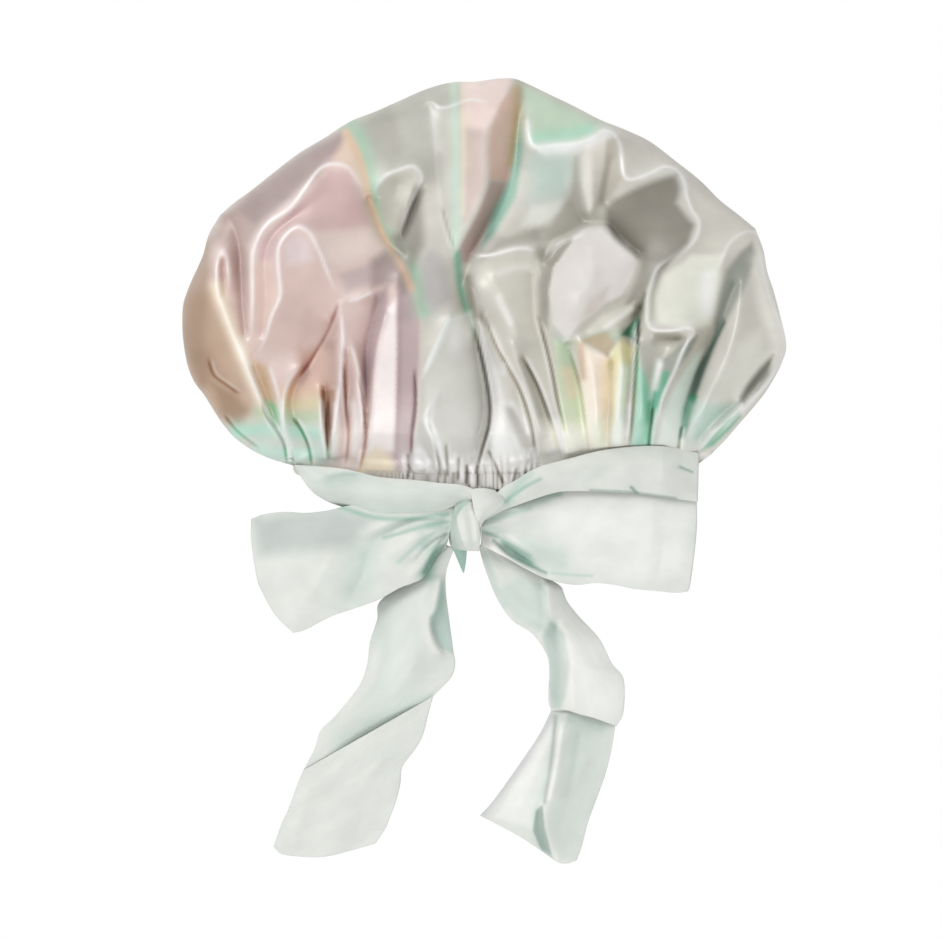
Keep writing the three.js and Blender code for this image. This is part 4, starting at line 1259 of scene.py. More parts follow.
# Painted highlights along lit crests and edges of the crown.
EDGE_PAINTED_HIGHLIGHTS: tuple[PaintedHighlight, ...] = (
    PaintedHighlight(((534, 152), (577, 149), (604, 137), (616, 143)), 0.6, 7.0),
    PaintedHighlight(((630, 184), (655, 174), (676, 176), (686, 200)), 0.25, 6.0),
    PaintedHighlight(((659, 360), (653, 394)), 0.5, 3.5),
    PaintedHighlight(((527, 118), (530, 146), (546, 152)), 0.4, 4.0),
    PaintedHighlight(((236, 335), (252, 372), (268, 410), (286, 450)), 0.35, 4.0),
    PaintedHighlight(((281, 395), (283, 420), (290, 452)), 0.45, 4.0),
    PaintedHighlight(((352, 395), (356, 428), (352, 460)), 0.5, 4.0),
    PaintedHighlight(((553, 415), (558, 440), (562, 462)), 0.5, 3.5),
    PaintedHighlight(((708, 268), (706, 292), (705, 324)), 0.55, 8.0),
    PaintedHighlight(((497, 292), (502, 308), (513, 330)), 0.4, 3.5),
    PaintedHighlight(((492, 278), (512, 270), (533, 268)), 0.25, 4.0),
    PaintedHighlight(((507, 428), (516, 444), (522, 460)), 0.5, 2.5),
    PaintedHighlight(((497, 425), (497, 445), (492, 462)), 0.5, 2.5),
    PaintedHighlight(((254, 275), (262, 240), (285, 213), (305, 193), (322, 172)), 0.16, 6.0),
    PaintedHighlight(((634, 306), (620, 317), (600, 331)), 0.45, 3.0),
    PaintedHighlight(((431, 104), (436, 130), (441, 160)), 0.25, 5.0),
    PaintedHighlight(((739, 408), (715, 431), (698, 452)), 0.5),
    PaintedHighlight(((438, 386), (434, 406), (432, 430), (440, 455)), 0.3),
    PaintedHighlight(((322, 394), (322, 430), (327, 456)), 0.45),
    PaintedHighlight(((503, 362), (504, 378)), 0.5, 3.0),
    PaintedHighlight(((628, 400), (626, 440)), 0.4, 2.5),
    PaintedHighlight(((425, 414), (437, 441), (444, 462)), 0.5, 3.5),
    PaintedHighlight(((418, 448), (424, 470)), 0.6, 6.0),
    PaintedHighlight(((496, 434), (501, 446), (503, 460)), 0.7, 6.0),
    PaintedHighlight(((507, 398), (519, 414), (530, 438)), 0.6, 3.0),
    PaintedHighlight(((531, 446), (535, 464)), 0.6, 3.5),
    PaintedHighlight(((551, 446), (556, 460)), 0.6, 4.0),
    PaintedHighlight(((562, 430), (567, 457)), 0.6, 3.0),
    PaintedHighlight(((336, 398), (338, 430), (334, 460)), 0.5, 3.0),
)
# Grooves between the gathers at the mouth, each with painted shade inside and a painted highlight on its lip.
MOUTH_GROOVES_WITH_PAINTED_LIGHT: tuple[GrooveWithPaintedLight, ...] = (
    GrooveWithPaintedLight(((429, 420), (437, 446), (441, 480)), 0.9, 0.4, Side.RIGHT),
    GrooveWithPaintedLight(((446, 442), (448, 478)), 0.9, 0.4, Side.LEFT),
    GrooveWithPaintedLight(((459, 456), (458, 482)), 0.9, 0.4, Side.LEFT),
    GrooveWithPaintedLight(((467, 463), (466, 486)), 0.9, 0.4, Side.LEFT),
    GrooveWithPaintedLight(((487, 448), (497, 468), (504, 486)), 1.1, 0.4, Side.LEFT),
    GrooveWithPaintedLight(((517, 466), (512, 488)), 0.8, 0.4, Side.RIGHT),
    GrooveWithPaintedLight(((478, 464), (479, 488)), 0.8, 0.3, Side.LEFT),
    GrooveWithPaintedLight(((529, 456), (524, 484)), 0.7, 0.4, Side.RIGHT),
    GrooveWithPaintedLight(((408, 452), (409, 480)), 0.7, 0.4, Side.LEFT),
)
# Painted highlights on the crests of the gathers at the mouth.
MOUTH_PAINTED_HIGHLIGHTS: tuple[PaintedHighlight, ...] = (
    PaintedHighlight(((404, 454), (405, 476)), 0.5, 2.4),
    PaintedHighlight(((416, 446), (420, 470)), 0.6, 3.0),
    PaintedHighlight(((425, 450), (428, 476)), 0.5, 2.2),
    PaintedHighlight(((438, 438), (445, 472)), 0.5, 2.4),
    PaintedHighlight(((455, 450), (453, 474)), 0.55, 2.4),
    PaintedHighlight(((463, 460), (462, 484)), 0.5, 2.0),
    PaintedHighlight(((472, 462), (471, 486)), 0.5, 2.0),
    PaintedHighlight(((493, 430), (497, 458)), 0.55, 3.0),
    PaintedHighlight(((506, 438), (515, 464)), 0.5, 2.6),
    PaintedHighlight(((490, 464), (489, 488)), 0.45, 2.2),
    PaintedHighlight(((523, 446), (527, 472)), 0.5, 2.2),
)
# Share of a fold's glow that is painted as a highlight along its crest.
PAINTED_HIGHLIGHT_SHARE = 0.75


@dataclass(frozen=True)
class Gathers:
    """The gathers across the mouth.

    Attributes:
        pitch: the breadth of an even frill.
        drifts: strength, length and start of the waves that make the breadths uneven.
        mean_rise: of the frills, from 0 to 1.
        rise_change: how much two slow waves change that.
        rise_waves: the length and start of those waves.
        fullness: the height of a frill's top over its valley.
        roundness: the power of a frill's sine.
        middle: X of the place where they are strongest.
        fade: the distances from there between which they fade.
        faded: the share that they lose.
    """

    pitch: float = 3.9
    drifts: tuple[tuple[float, float, float], ...] = ((1.1, 9.0, 0.0), (0.5, 3.9, 1.0))
    mean_rise: float = 0.65
    rise_change: float = 0.35
    rise_waves: tuple[tuple[float, float], ...] = ((3.7, 2.0), (9.1, 0.0))
    fullness: float = 1.9
    roundness: float = 0.8
    middle: float = -10.0
    fade: tuple[float, float] = (34.0, 58.0)
    faded: float = 0.85

    def waves(self, x: Array) -> Array:
        """Wide frills of uneven breadth with pinched valleys, from -1 to 1, at places across the mouth."""
        turns = x / self.pitch
        for strength, length, start in self.drifts:
            turns = turns + strength * np.sin(x / length + start)
        change = self.rise_change
        for length, start in self.rise_waves:
            change = change * np.sin(x / length + start)
        shown = 1 - self.faded * self.fading(self.fade, x)
        frill = self.fullness * np.abs(np.sin(np.pi * turns)) ** self.roundness - 1
        return shown * (self.mean_rise + change) * frill

    def fading(self, fade: tuple[float, float], x: Array) -> Array:
        """Goes from 0 to 1 between two distances from the middle of the gathers."""
        return ease(*fade, np.abs(x - self.middle))


GATHERS = Gathers()


@dataclass
class Crown:
    """The crown: an upper sheet with the photographed folds, and a lower one that lies on the table.

    Attributes:
        mouth: the ring that it is sewn to.
        height: of the dome, over the line of equal Y called widest.
        near_power: how fast the dome rises from the mouth, far_power and far_round how it falls behind.
        squareness: of the dome from side to side, which ends at the rim's height.
        mouth_reach: how far from the seam the sheets are drawn to it, with the lips inset by tuck.
        fold_fade: the margin inside the edge over which folds rise.
        under_reach: how far in the lower sheet curls, to lie table_gap over the table.
        wrinkle_length: of the lower sheet's wrinkles, swayed by sway over sway_length.
        wrinkle_fade: distances from the edge over which wrinkles rise; they die away over wrinkle_reach.
        columns: of the upper mesh across, and rows upward; evenness is the share of even spacing in both.
        rings: of the lower mesh, crowded at the rim by the power ring_crowding.
        lip_corner: the share of the seam at each end that the lower mesh's sides take.
        frill_rise: of the gathers by the seam, which reach frill_reach, uneven by frill_change.
        frill_waves: the length and start of the waves of that reach, and frill_fall how sharply it ends.
        frill_fade: distances from the middle between which the gathers fade, and frill_painted_light the
            strength of the frills' painted shade and highlight.
        mouth_painted_light: how much paler the colour is painted within mouth_painted_light_reach, fading out
            towards the seam over seam_painted_shade.
        cut_across: the flat disc, and lining_across the lining's; neither is used.
        lining_step: rows and columns of the crown to one of the lining, drawn in by lining_shrink.
        lining_gap: the share of the crown's depth above the lining, and lining_lift the gap below it.
        fold_at_mouth: the share of the folds that stays at the seam; all are full at gather_reach.
        press_gap: from sash to cloth, which rises by press_slope beyond it, rounded by press_round.
        edge_samples: of the outline for distances, and side_samples for its sides.
        cloth: the folds, once they are solved.
    """

    mouth: Mouth
    height: float = 56.0
    widest: float = 82.0
    near_power: float = 2.6
    far_power: float = 2.4
    far_round: float = 0.42
    squareness: float = 3.2
    rim: float = 22.0
    mouth_reach: float = 22.0
    tuck: float = 0.5
    fold_fade: float = 6.0
    under_reach: float = 26.0
    table_gap: float = 0.35
    wrinkle_length: float = 9.0
    sway: float = 2.0
    sway_length: float = 31.0
    wrinkle_fade: tuple[float, float] = (10.0, 40.0)
    wrinkle_reach: float = 70.0
    columns: int = 301
    rows: int = 271
    rings: int = 20
    evenness: float = 0.75
    ring_crowding: float = 1.5
    lip_corner: float = 0.03
    frill_rise: float = 1.1
    frill_reach: float = 13.0
    frill_change: tuple[float, float] = (0.75, 0.45)
    frill_waves: tuple[tuple[float, float], ...] = ((3.1, 0.0), (7.7, 0.5))
    frill_fall: float = 1.5
    frill_fade: tuple[float, float] = (28.0, 44.0)
    frill_painted_light: float = 0.6
    mouth_painted_light: float = 0.28
    mouth_painted_light_reach: float = 26.0
    seam_painted_shade: tuple[float, float] = (-2.0, 6.0)
    cut_across: float = 440.0
    lining_across: float = 400.0
    lining_step: int = 3
    lining_shrink: float = 0.975
    lining_gap: float = 0.12
    lining_lift: float = 1.5
    fold_at_mouth: float = 0.25
    gather_reach: float = 16.0
    press_gap: float = 1.4
    press_slope: float = 1.4
    press_round: float = 2.0
    edge_samples: int = 240
    side_samples: int = 400
    cloth: StretchedCloth | None = None

    def shares(self) -> tuple[Array, Array]:
        """Shares across and upward, closer together at the crown's edge."""
        return self.crowded(self.columns), self.crowded(self.rows)

    def crowded(self, count: int) -> Array:
        """Shares from 0 to 1: an even spacing mixed with one that follows half a cosine."""
        even = np.linspace(0, 1, count)
        return self.evenness * even + (1 - self.evenness) * (0.5 - 0.5 * np.cos(np.pi * even))

    def plan(self) -> Array:
        """Lays out the crown as seen from above: a grid of points between the seam and the outline."""
        u, v = self.shares()
        seam = self.mouth.seam_line(u)
        left = curve_through(VIEW.to_table(CROWN_LEFT), v)
        right = curve_through(VIEW.to_table(CROWN_RIGHT), v)
        top = curve_through(VIEW.to_table(CROWN_TOP), u)
        left[0], right[0] = seam[0], seam[-1]
        return span_between(seam, top, left, right, u, v)

    def clearances(self, points: Array) -> tuple[Array, Array]:
        """The distances of points to the crown's edge and to the mouth's seam."""
        even = np.linspace(0, 1, self.edge_samples)
        outline = np.concatenate(
            [curve_through(VIEW.to_table(side), even) for side in (CROWN_LEFT, CROWN_TOP, CROWN_RIGHT)]
        )
        return distance_to(outline, points), distance_to(self.mouth.seam_line(even), points)

    def upper_heights(self, points: Array, inward: Array, from_mouth: Array) -> Array:
        """The upper sheet: a dome that leaves its rim upright, pulled over the fold lines.

        Args:
            points: X and Y of the grid.
            inward: the distance to the crown's edge.
            from_mouth: the distance to the mouth's seam.

        Returns:
            Heights over the table.
        """
        seam = self.mouth.lip_height(points[..., 0], Lip.UPPER, self.tuck)
        leaving = ease(0.0, self.mouth_reach, from_mouth)
        plain = seam * (1 - leaving) + self.dome(points) * leaving
        gathered = self.fold_at_mouth + (1 - self.fold_at_mouth) * ease(0.0, self.gather_reach, from_mouth)
        shown = ease(0.0, self.fold_fade, inward) * gathered
        full = plain + self.folds(points).at(points) * shown + self.frill_rise * self.frills(from_mouth)
        return self.pressed(points, full)

    def folds(self, points: Array) -> StretchedCloth:
        """Stretches cloth over the photographed folds, once."""
        if self.cloth is None:
            flat = points.reshape(-1, 2)
            self.cloth = StretchedCloth(flat.min(axis=0) - FOLD_MARGIN, flat.max(axis=0) + FOLD_MARGIN)
            self.cloth.solve(CROWN_FOLDS)
            self.cloth.groove(CROWN_GROOVES_WITH_PAINTED_LIGHT + MOUTH_GROOVES_WITH_PAINTED_LIGHT)
        return self.cloth

    def pressed(self, points: Array, heights: Array) -> Array:
        """Holds the crown down where the sash lies over its edge.

        Under the sash the cloth stays below the sash's own level, and past the sash's edge it may rise by the
        press slope. The two are joined by a smooth minimum.

        Args:
            points: X and Y of the grid.
            heights: the free cloth's heights.

        Returns:
            The heights that are left.
        """
        edge = VIEW.to_table(SASH_LEFT.right + SASH_RIGHT.left)
        level = np.concatenate([SASH_LEFT.edge_levels(Side.RIGHT), SASH_RIGHT.edge_levels(Side.LEFT)])
        order = np.argsort(edge[:, 0])
        x = points[..., 0]
        beyond = points[..., 1] - np.interp(x, edge[order, 0], edge[order, 1])
        limit = np.interp(x, edge[order, 0], level[order]) - self.press_gap
        limit = limit + self.press_slope * np.maximum(beyond, 0)
        apart = heights - limit
        return limit + 0.5 * (apart - np.sqrt(apart**2 + self.press_round**2))

    def dome(self, points: Array) -> Array:
        """The plain dome: across each line of equal Y it is half a superellipse from edge to edge.

        Its top rises from the mouth as one less a power of the way left, and falls to the far edge as a
        rounded power of the way gone.

        Args:
            points: X and Y of the grid.

        Returns:
            Heights over the table.
        """
        low, high, far = self.edges(points[..., 1])
        share = np.clip(np.abs(2 * (points[..., 0] - low) / np.maximum(high - low, NARROW) - 1), 0, 1)
        y = points[..., 1]
        near = np.clip((y - self.mouth.seam) / (self.widest - self.mouth.seam), 0, 1)
        beyond = np.clip((y - self.widest) / (far - self.widest), 0, 1)
        lip = self.mouth.floor + self.mouth.height
        rising = lip + (self.height - lip) * (1 - (1 - near) ** self.near_power)
        falling = self.rim + (self.height - self.rim) * (1 - beyond**self.far_power) ** self.far_round
        top = np.where(y < self.widest, rising, falling)
        return self.rim + (top - self.rim) * (1 - share**self.squareness) ** (1 / self.squareness)

    def edges(self, y: Array) -> tuple[Array, Array, float]:
        """Finds the crown's left and right edges at each Y.

        Args:
            y: places between the mouth and the far edge.

        Returns:
            X of the left edges, X of the right ones, and Y of the farthest point.
        """
        even = np.linspace(0, 1, self.side_samples)
        arc = curve_through(VIEW.to_table(CROWN_TOP), even)
        peak = int(np.argmax(arc[:, 1]))
        left = np.concatenate([curve_through(VIEW.to_table(CROWN_LEFT), even), arc[: peak + 1]])
        right = np.concatenate([curve_through(VIEW.to_table(CROWN_RIGHT), even), arc[: peak - 1 : -1]])
        low = np.interp(y, left[:, 1], left[:, 0])
        high = np.interp(y, right[:, 1], right[:, 0])
        return low, high, float(arc[peak, 1])

    def frills(self, from_mouth: Array) -> Array:
        """Small gathers where the crown is sewn to the mouth, which die away at uneven distances from it."""
        u, _ = self.shares()
        x = (u - 0.5) * self.mouth.width
        mean, change = self.frill_change
        for length, start in self.frill_waves:
            change = change * np.sin(x / length + start)
        reach = self.frill_reach * (mean + change)
        shown = 1 - GATHERS.fading(self.frill_fade, x)
        return GATHERS.waves(x) * shown * np.exp(-((from_mouth / reach) ** self.frill_fall))

    def lower_heights(self, points: Array, inward: Array, from_mouth: Array) -> Array:
        """The lower sheet: it curls in from the rim as a quarter circle and lies on the table, wrinkled.

        Args:
            points: X and Y of the grid.
            inward: the distance to the crown's edge.
            from_mouth: the distance to the mouth's seam.

        Returns:
            Heights over the table.
        """
        share = np.clip(inward / self.under_reach, 0, 1)
        curled = self.rim * (1 - np.sqrt(1 - (1 - share) ** 2))
        seam = self.mouth.lip_height(points[..., 0], Lip.LOWER, self.tuck)
        leaving = ease(0.0, self.mouth_reach, from_mouth)
        swayed = self.sway * np.sin(points[..., 1] / self.sway_length)
        wave = 0.5 + 0.5 * np.sin(points[..., 0] / self.wrinkle_length + swayed)
        wrinkle = wave * ease(*self.wrinkle_fade, inward) * np.exp(-from_mouth / self.wrinkle_reach)
        return seam * (1 - leaving) + (curled + self.table_gap * share + wrinkle) * leaving

    def lower_sheet(self, upper: Array, lift: float = 0.0) -> Array:
        """Spreads the lower sheet from the rim of an upper one to the lower lip.

        The rim runs up the left side, along the far edge and down the right side; the lip's corners are the
        patch's other two sides.

        Args:
            upper: the upper sheet's points.
            lift: how far the sheet stays off the table's own layer.

        Returns:
            A grid of points, whose first row is the rim.
        """
        rim = np.concatenate([upper[:, 0], upper[-1, 1:-1], upper[::-1, -1]])
        along = np.linspace(0, 1, len(rim))
        inward = np.linspace(0, 1, self.rings) ** self.ring_crowding
        lip = self.mouth.seam_line(self.lip_corner + (1 - 2 * self.lip_corner) * along)
        left = self.mouth.seam_line(self.lip_corner * inward)
        right = self.mouth.seam_line(1 - self.lip_corner * inward)
        left, right = left + rim[0, :2] - left[0], right + rim[-1, :2] - right[0]
        lip = lip + left[-1] - lip[0]
        plan = span_between(rim[:, :2], lip, left, right, along, inward)
        heights = self.lower_heights(plan, *self.clearances(plan)) + lift
        heights[0] = rim[:, 2]
        return np.dstack([plan, heights])

    def upper_sheet(self) -> Array:
        """The upper sheet as a grid of points, with its far edge at the rim's height."""
        points = self.plan()
        upper = np.dstack([points, self.upper_heights(points, *self.clearances(points))])
        upper[-1, :, 2] = self.rim
        return upper

    def dye_and_painted_light(self, upper: Array) -> Array:
        """Colours the upper sheet: its colours, painted crease shade and painted crest highlights, then
        painted shade of its folds and frills and painted light near the mouth.
        """
        points = upper[..., :2]
        # Painted highlights along the lit fold crests.
        painted_highlights = tuple(PaintedHighlight(fold.path, PAINTED_HIGHLIGHT_SHARE * fold.glow) for fold in CROWN_FOLDS if fold.glow)
        marks = CROWN_GROOVES_WITH_PAINTED_LIGHT + MOUTH_GROOVES_WITH_PAINTED_LIGHT + painted_highlights + EDGE_PAINTED_HIGHLIGHTS + MOUTH_PAINTED_HIGHLIGHTS
        tint_and_painted_light = dyed_with_painted_light(SATIN_BASE, CROWN_DYE_AND_PAINTED_LIGHT + marks, points)
        from_mouth = self.clearances(points)[1]
        # Painted shade and highlight of the folds and frills, and painted light that makes the cloth paler
        # near the mouth.
        shade = self.folds(points).shading(points, SATIN_PAINTED_FOLD_LIGHT) + self.frill_painted_light * self.frills(from_mouth)
        light = self.mouth_painted_light * ease(*self.seam_painted_shade, from_mouth)
        shade = shade + light * np.exp(-((from_mouth / self.mouth_painted_light_reach) ** 2))
        return tint_and_painted_light ** np.clip(shade, SATIN_PAINTED_FOLD_LIGHT.darkest, None)[..., None] ** -SHADE_POWER

    def build(self, satin: bpy.types.Material, lining: bpy.types.Material) -> list[bpy.types.Object]:
        """Makes the crown and its lining.

        Args:
            satin: the satin, whose colour attribute holds its pastel colours with painted shade and painted
                highlights.
            lining: the plain satin inside.

        Returns:
            Both pieces.
        """
        upper = self.upper_sheet()
        lower = self.lower_sheet(upper)
        # The lower sheet takes the same colours and painted shade by where it lies.
        under = dyed_with_painted_light(SATIN_BASE, CROWN_DYE_AND_PAINTED_LIGHT, lower[1:, :, :2])
        shell = bag(upper, lower, (self.dye_and_painted_light(upper), under)).make("crown", satin)
        dress(shell, "crown_outer", Body.BONNET)
        top = upper[:: self.lining_step, :: self.lining_step]
        base = self.lower_heights(top[..., :2], *self.clearances(top[..., :2]))
        middle = np.array([*top.reshape(-1, 3)[:, :2].mean(axis=0), 0.0])
        shrink = np.array([self.lining_shrink, self.lining_shrink, 1.0])
        inside = (top - middle) * shrink + middle
        inside[..., 2] -= (top[..., 2] - base) * self.lining_gap
        piece = bag(inside, self.lower_sheet(inside, self.lining_lift)).make("crown_inside", lining)
        dress(piece, "crown_lining", Body.BONNET)
        return [shell, piece]


def bag(upper: Array, lower: Array, tints_and_painted_light: tuple[Array, Array] | None = None) -> ClothMesh:
    """Joins an upper sheet and the lower sheet that hangs from its rim into a bag, open at the mouth.

    Args:
        upper: the upper sheet's points.
        lower: the lower sheet's points, whose first row is the upper one's rim.
        tints_and_painted_light: colours of the upper sheet and of the lower one past the rim, with painted
            shade and painted highlights.

    Returns:
        The bag's mesh.
    """
    over = np.arange(upper.size // 3).reshape(upper.shape[:2])
    rim = np.concatenate([over[:, 0], over[-1, 1:-1], over[::-1, -1]])
    below = over.size + np.arange(lower[1:].size // 3).reshape(len(lower) - 1, -1)
    faces = np.concatenate([grid_faces(over), grid_faces(np.concatenate([rim[None], below]))])
    vertices = np.concatenate([upper.reshape(-1, 3), lower[1:].reshape(-1, 3)])
    dye_and_painted_light = None if tints_and_painted_light is None else np.concatenate([tint_and_painted_light.reshape(-1, 3) for tint_and_painted_light in tints_and_painted_light])
    return ClothMesh(vertices, faces, vertices[:, :2], dye_and_painted_light)


def dress(piece: bpy.types.Object, node: str, body: Body | None) -> None:
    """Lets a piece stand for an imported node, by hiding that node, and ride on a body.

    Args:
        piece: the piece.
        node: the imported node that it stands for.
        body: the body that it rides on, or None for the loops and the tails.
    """
    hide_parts(node)
    if body:
        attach(piece, body.value)


@dataclass
class MouthBand:
    """The ruched casing folded over the lip, and the flat elastic inside it.

    Attributes:
        mouth: the ring that it goes round.
        columns: round the mouth, and rows across the folded strip.
        turn_from: the share of the strip's breadth where it starts to turn at the lip.
        hem: the share at its edges where the pleats no longer flatten.
        pleat_rise: the height of the pleats, and pleat_painted_light the strength of their painted shade and
            highlight.
        end_depth: the share of the band's depth that is left at the mouth's ends.
        cut: the flat strip's breadth and length; not used.
        weave_depth: breadth of the strip on the weave's pattern, and weave_step that of a column.
        elastic_width: of the flat elastic, and elastic_thick its thickness.
        elastic_columns: of its mesh round the mouth, and elastic_step the length of one on the weave.
        elastic_sides: of its mesh round the section.
        elastic_power: how square the section is.
        ring_samples: for spacing by length.
    """

    mouth: Mouth
    columns: int = 832
    rows: int = 19
    turn_from: float = 0.4
    hem: float = 0.04
    pleat_rise: float = 0.6
    pleat_painted_light: float = 0.6
    end_depth: float = 0.35
    cut: tuple[float, float] = (19.5, 540.0)
    weave_depth: float = 22.0
    weave_step: float = 0.6
    elastic_width: float = 7.0
    elastic_thick: float = 1.0
    elastic_columns: int = 360
    elastic_sides: int = 16
    elastic_step: float = 1.3
    elastic_power: float = 0.3
    ring_samples: int = 4000

    def ring(self, angle: Array, inset: Array, forward: Array) -> Array:
        """Points on the mouth's ring.

        Args:
            angle: round the mouth, from its right end over the top.
            inset: how far inside the mouth's outer face.
            forward: how far from the seam towards the lip.

        Returns:
            X, Y and Z of each point.
        """
        upper = np.sin(angle) >= 0
        power = np.where(upper, self.mouth.top_squareness, self.mouth.base_squareness)
        side = np.abs(np.cos(angle)) ** (2 / power) * np.sign(np.cos(angle))
        rise = np.abs(np.sin(angle)) ** (2 / power) * np.sign(np.sin(angle))
        x = (self.mouth.width / 2 - inset) * side
        z = self.mouth.middle + (self.mouth.height / 2 - inset) * rise
        bend = np.sqrt(np.clip(1 - (x / (self.mouth.width / 2)) ** 2, 0, 1))
        depth = forward * (self.end_depth + (1 - self.end_depth) * bend)
        return np.stack([x, self.mouth.seam - self.mouth.bow * bend - depth, z], axis=-1)

    def angles(self, count: int) -> Array:
        """Angles that are evenly spaced by length round the mouth."""
        fine = np.linspace(0, 2 * np.pi, self.ring_samples)
        path = self.ring(fine, np.zeros_like(fine), np.zeros_like(fine))
        length = np.concatenate([[0], np.cumsum(np.linalg.norm(np.diff(path, axis=0), axis=1))])
        return np.interp(np.arange(count) / count * length[-1], length, fine)

    def build(self, satin: bpy.types.Material, elastic: bpy.types.Material) -> list[bpy.types.Object]:
        """Makes the casing and the elastic.

        Args:
            satin: the satin, whose colour attribute holds its pastel colours with painted shade and painted
                highlights.
            elastic: the elastic's finish.

        Returns:
            Both pieces.
        """
        count = self.columns
        angle = self.angles(count)
        thick, depth = self.mouth.thick, self.mouth.depth
        along = np.linspace(0, 1, self.rows)
        turn = np.clip((along - self.turn_from) / (1 - 2 * self.turn_from), 0, 1) * np.pi
        forward = np.minimum(np.minimum(along, 1 - along) / self.turn_from, 1.0)
        forward = forward * (depth - thick / 2) + thick / 2 * np.sin(turn)
        inset = thick / 2 * (1 - np.cos(turn))
        plain = self.ring(angle, np.zeros(count), np.zeros(count))
        gathers = GATHERS.waves(plain[:, 0])
        arch = np.sin(np.pi * np.clip(along, self.hem, 1 - self.hem))
        wave = self.pleat_rise * gathers[:, None] * arch[None]
        points = self.ring(angle[:, None], inset[None] - wave, np.broadcast_to(forward, wave.shape))
        index = np.arange(points.size // 3).reshape(points.shape[:2])
        faces = grid_faces(np.concatenate([index, index[:1]]))
        weave = np.meshgrid(along * self.weave_depth, np.arange(count) * self.weave_step)
        flat = np.stack(weave, axis=-1).reshape(-1, 2)
        # The crown's colours with painted shade and highlights, then painted shade and highlight of the
        # casing's pleats.
        tint_and_painted_light = dyed_with_painted_light(SATIN_BASE, CROWN_DYE_AND_PAINTED_LIGHT + MOUTH_GROOVES_WITH_PAINTED_LIGHT + MOUTH_PAINTED_HIGHLIGHTS, points[..., :2])
        tint_and_painted_light = (tint_and_painted_light ** (1 + self.pleat_painted_light * gathers)[:, None, None] ** -SHADE_POWER).reshape(-1, 3)
        casing = ClothMesh(points.reshape(-1, 3), faces, flat, tint_and_painted_light).make("mouth_band", satin)
        dress(casing, "mouth_casing", Body.BONNET)
        return [casing, self.build_elastic(elastic)]

    def build_elastic(self, material: bpy.types.Material) -> bpy.types.Object:
        """Makes the elastic as a flat closed ring in the middle of the casing.

        Args:
            material: the elastic's finish.

        Returns:
            The ring.
        """
        angle = self.angles(self.elastic_columns)
        turn = np.linspace(0, 2 * np.pi, self.elastic_sides, endpoint=False)
        squared = np.abs(np.cos(turn)) ** self.elastic_power * np.sign(np.cos(turn))
        across = squared * self.elastic_width / 2
        through = np.sin(turn) * self.elastic_thick / 2
        inset = self.mouth.thick / 2 + through
        forward = self.mouth.depth / 2 + across
        shape = (len(angle), len(turn))
        points = self.ring(angle[:, None], np.broadcast_to(inset, shape), np.broadcast_to(forward, shape))
        index = np.arange(shape[0] * shape[1]).reshape(shape)
        looped = np.concatenate([index, index[:1]])
        faces = grid_faces(np.concatenate([looped, looped[:, :1]], axis=1))
        weave = np.meshgrid(across, np.arange(len(angle)) * self.elastic_step)
        flat = np.stack(weave, axis=-1).reshape(-1, 2)
        ring = ClothMesh(points.reshape(-1, 3), faces, flat).make("elastic_ring", material)
        dress(ring, "mouth_elastic", Body.BONNET)
        return ring


RIBBON_THICK = 0.35
RIBBON_MARGIN = 6.0
RIBBON_SOFTNESS = 0.8
# Painted shade and highlight of the ribbon's folds; SHADE_MINT gives that painted shade a mint cast.
CREPE_PAINTED_FOLD_LIGHT = PaintedFoldLight(slope=0.1, hollow=0.05, breadth=4.0, darkest=0.55, palest=1.05)
SHADE_MINT = np.array([1.3, 0.85, 0.95])
CREPE_BASE: Colour = (226, 229, 223)
# Colours of painted shade on the ribbon: in hollows, in deep creases and along crease lines.
CREPE_SHADE: Colour = (190, 212, 203)
CREPE_DEEP_SHADE: Colour = (150, 189, 174)
CREPE_CREASE_SHADE: Colour = (112, 148, 136)


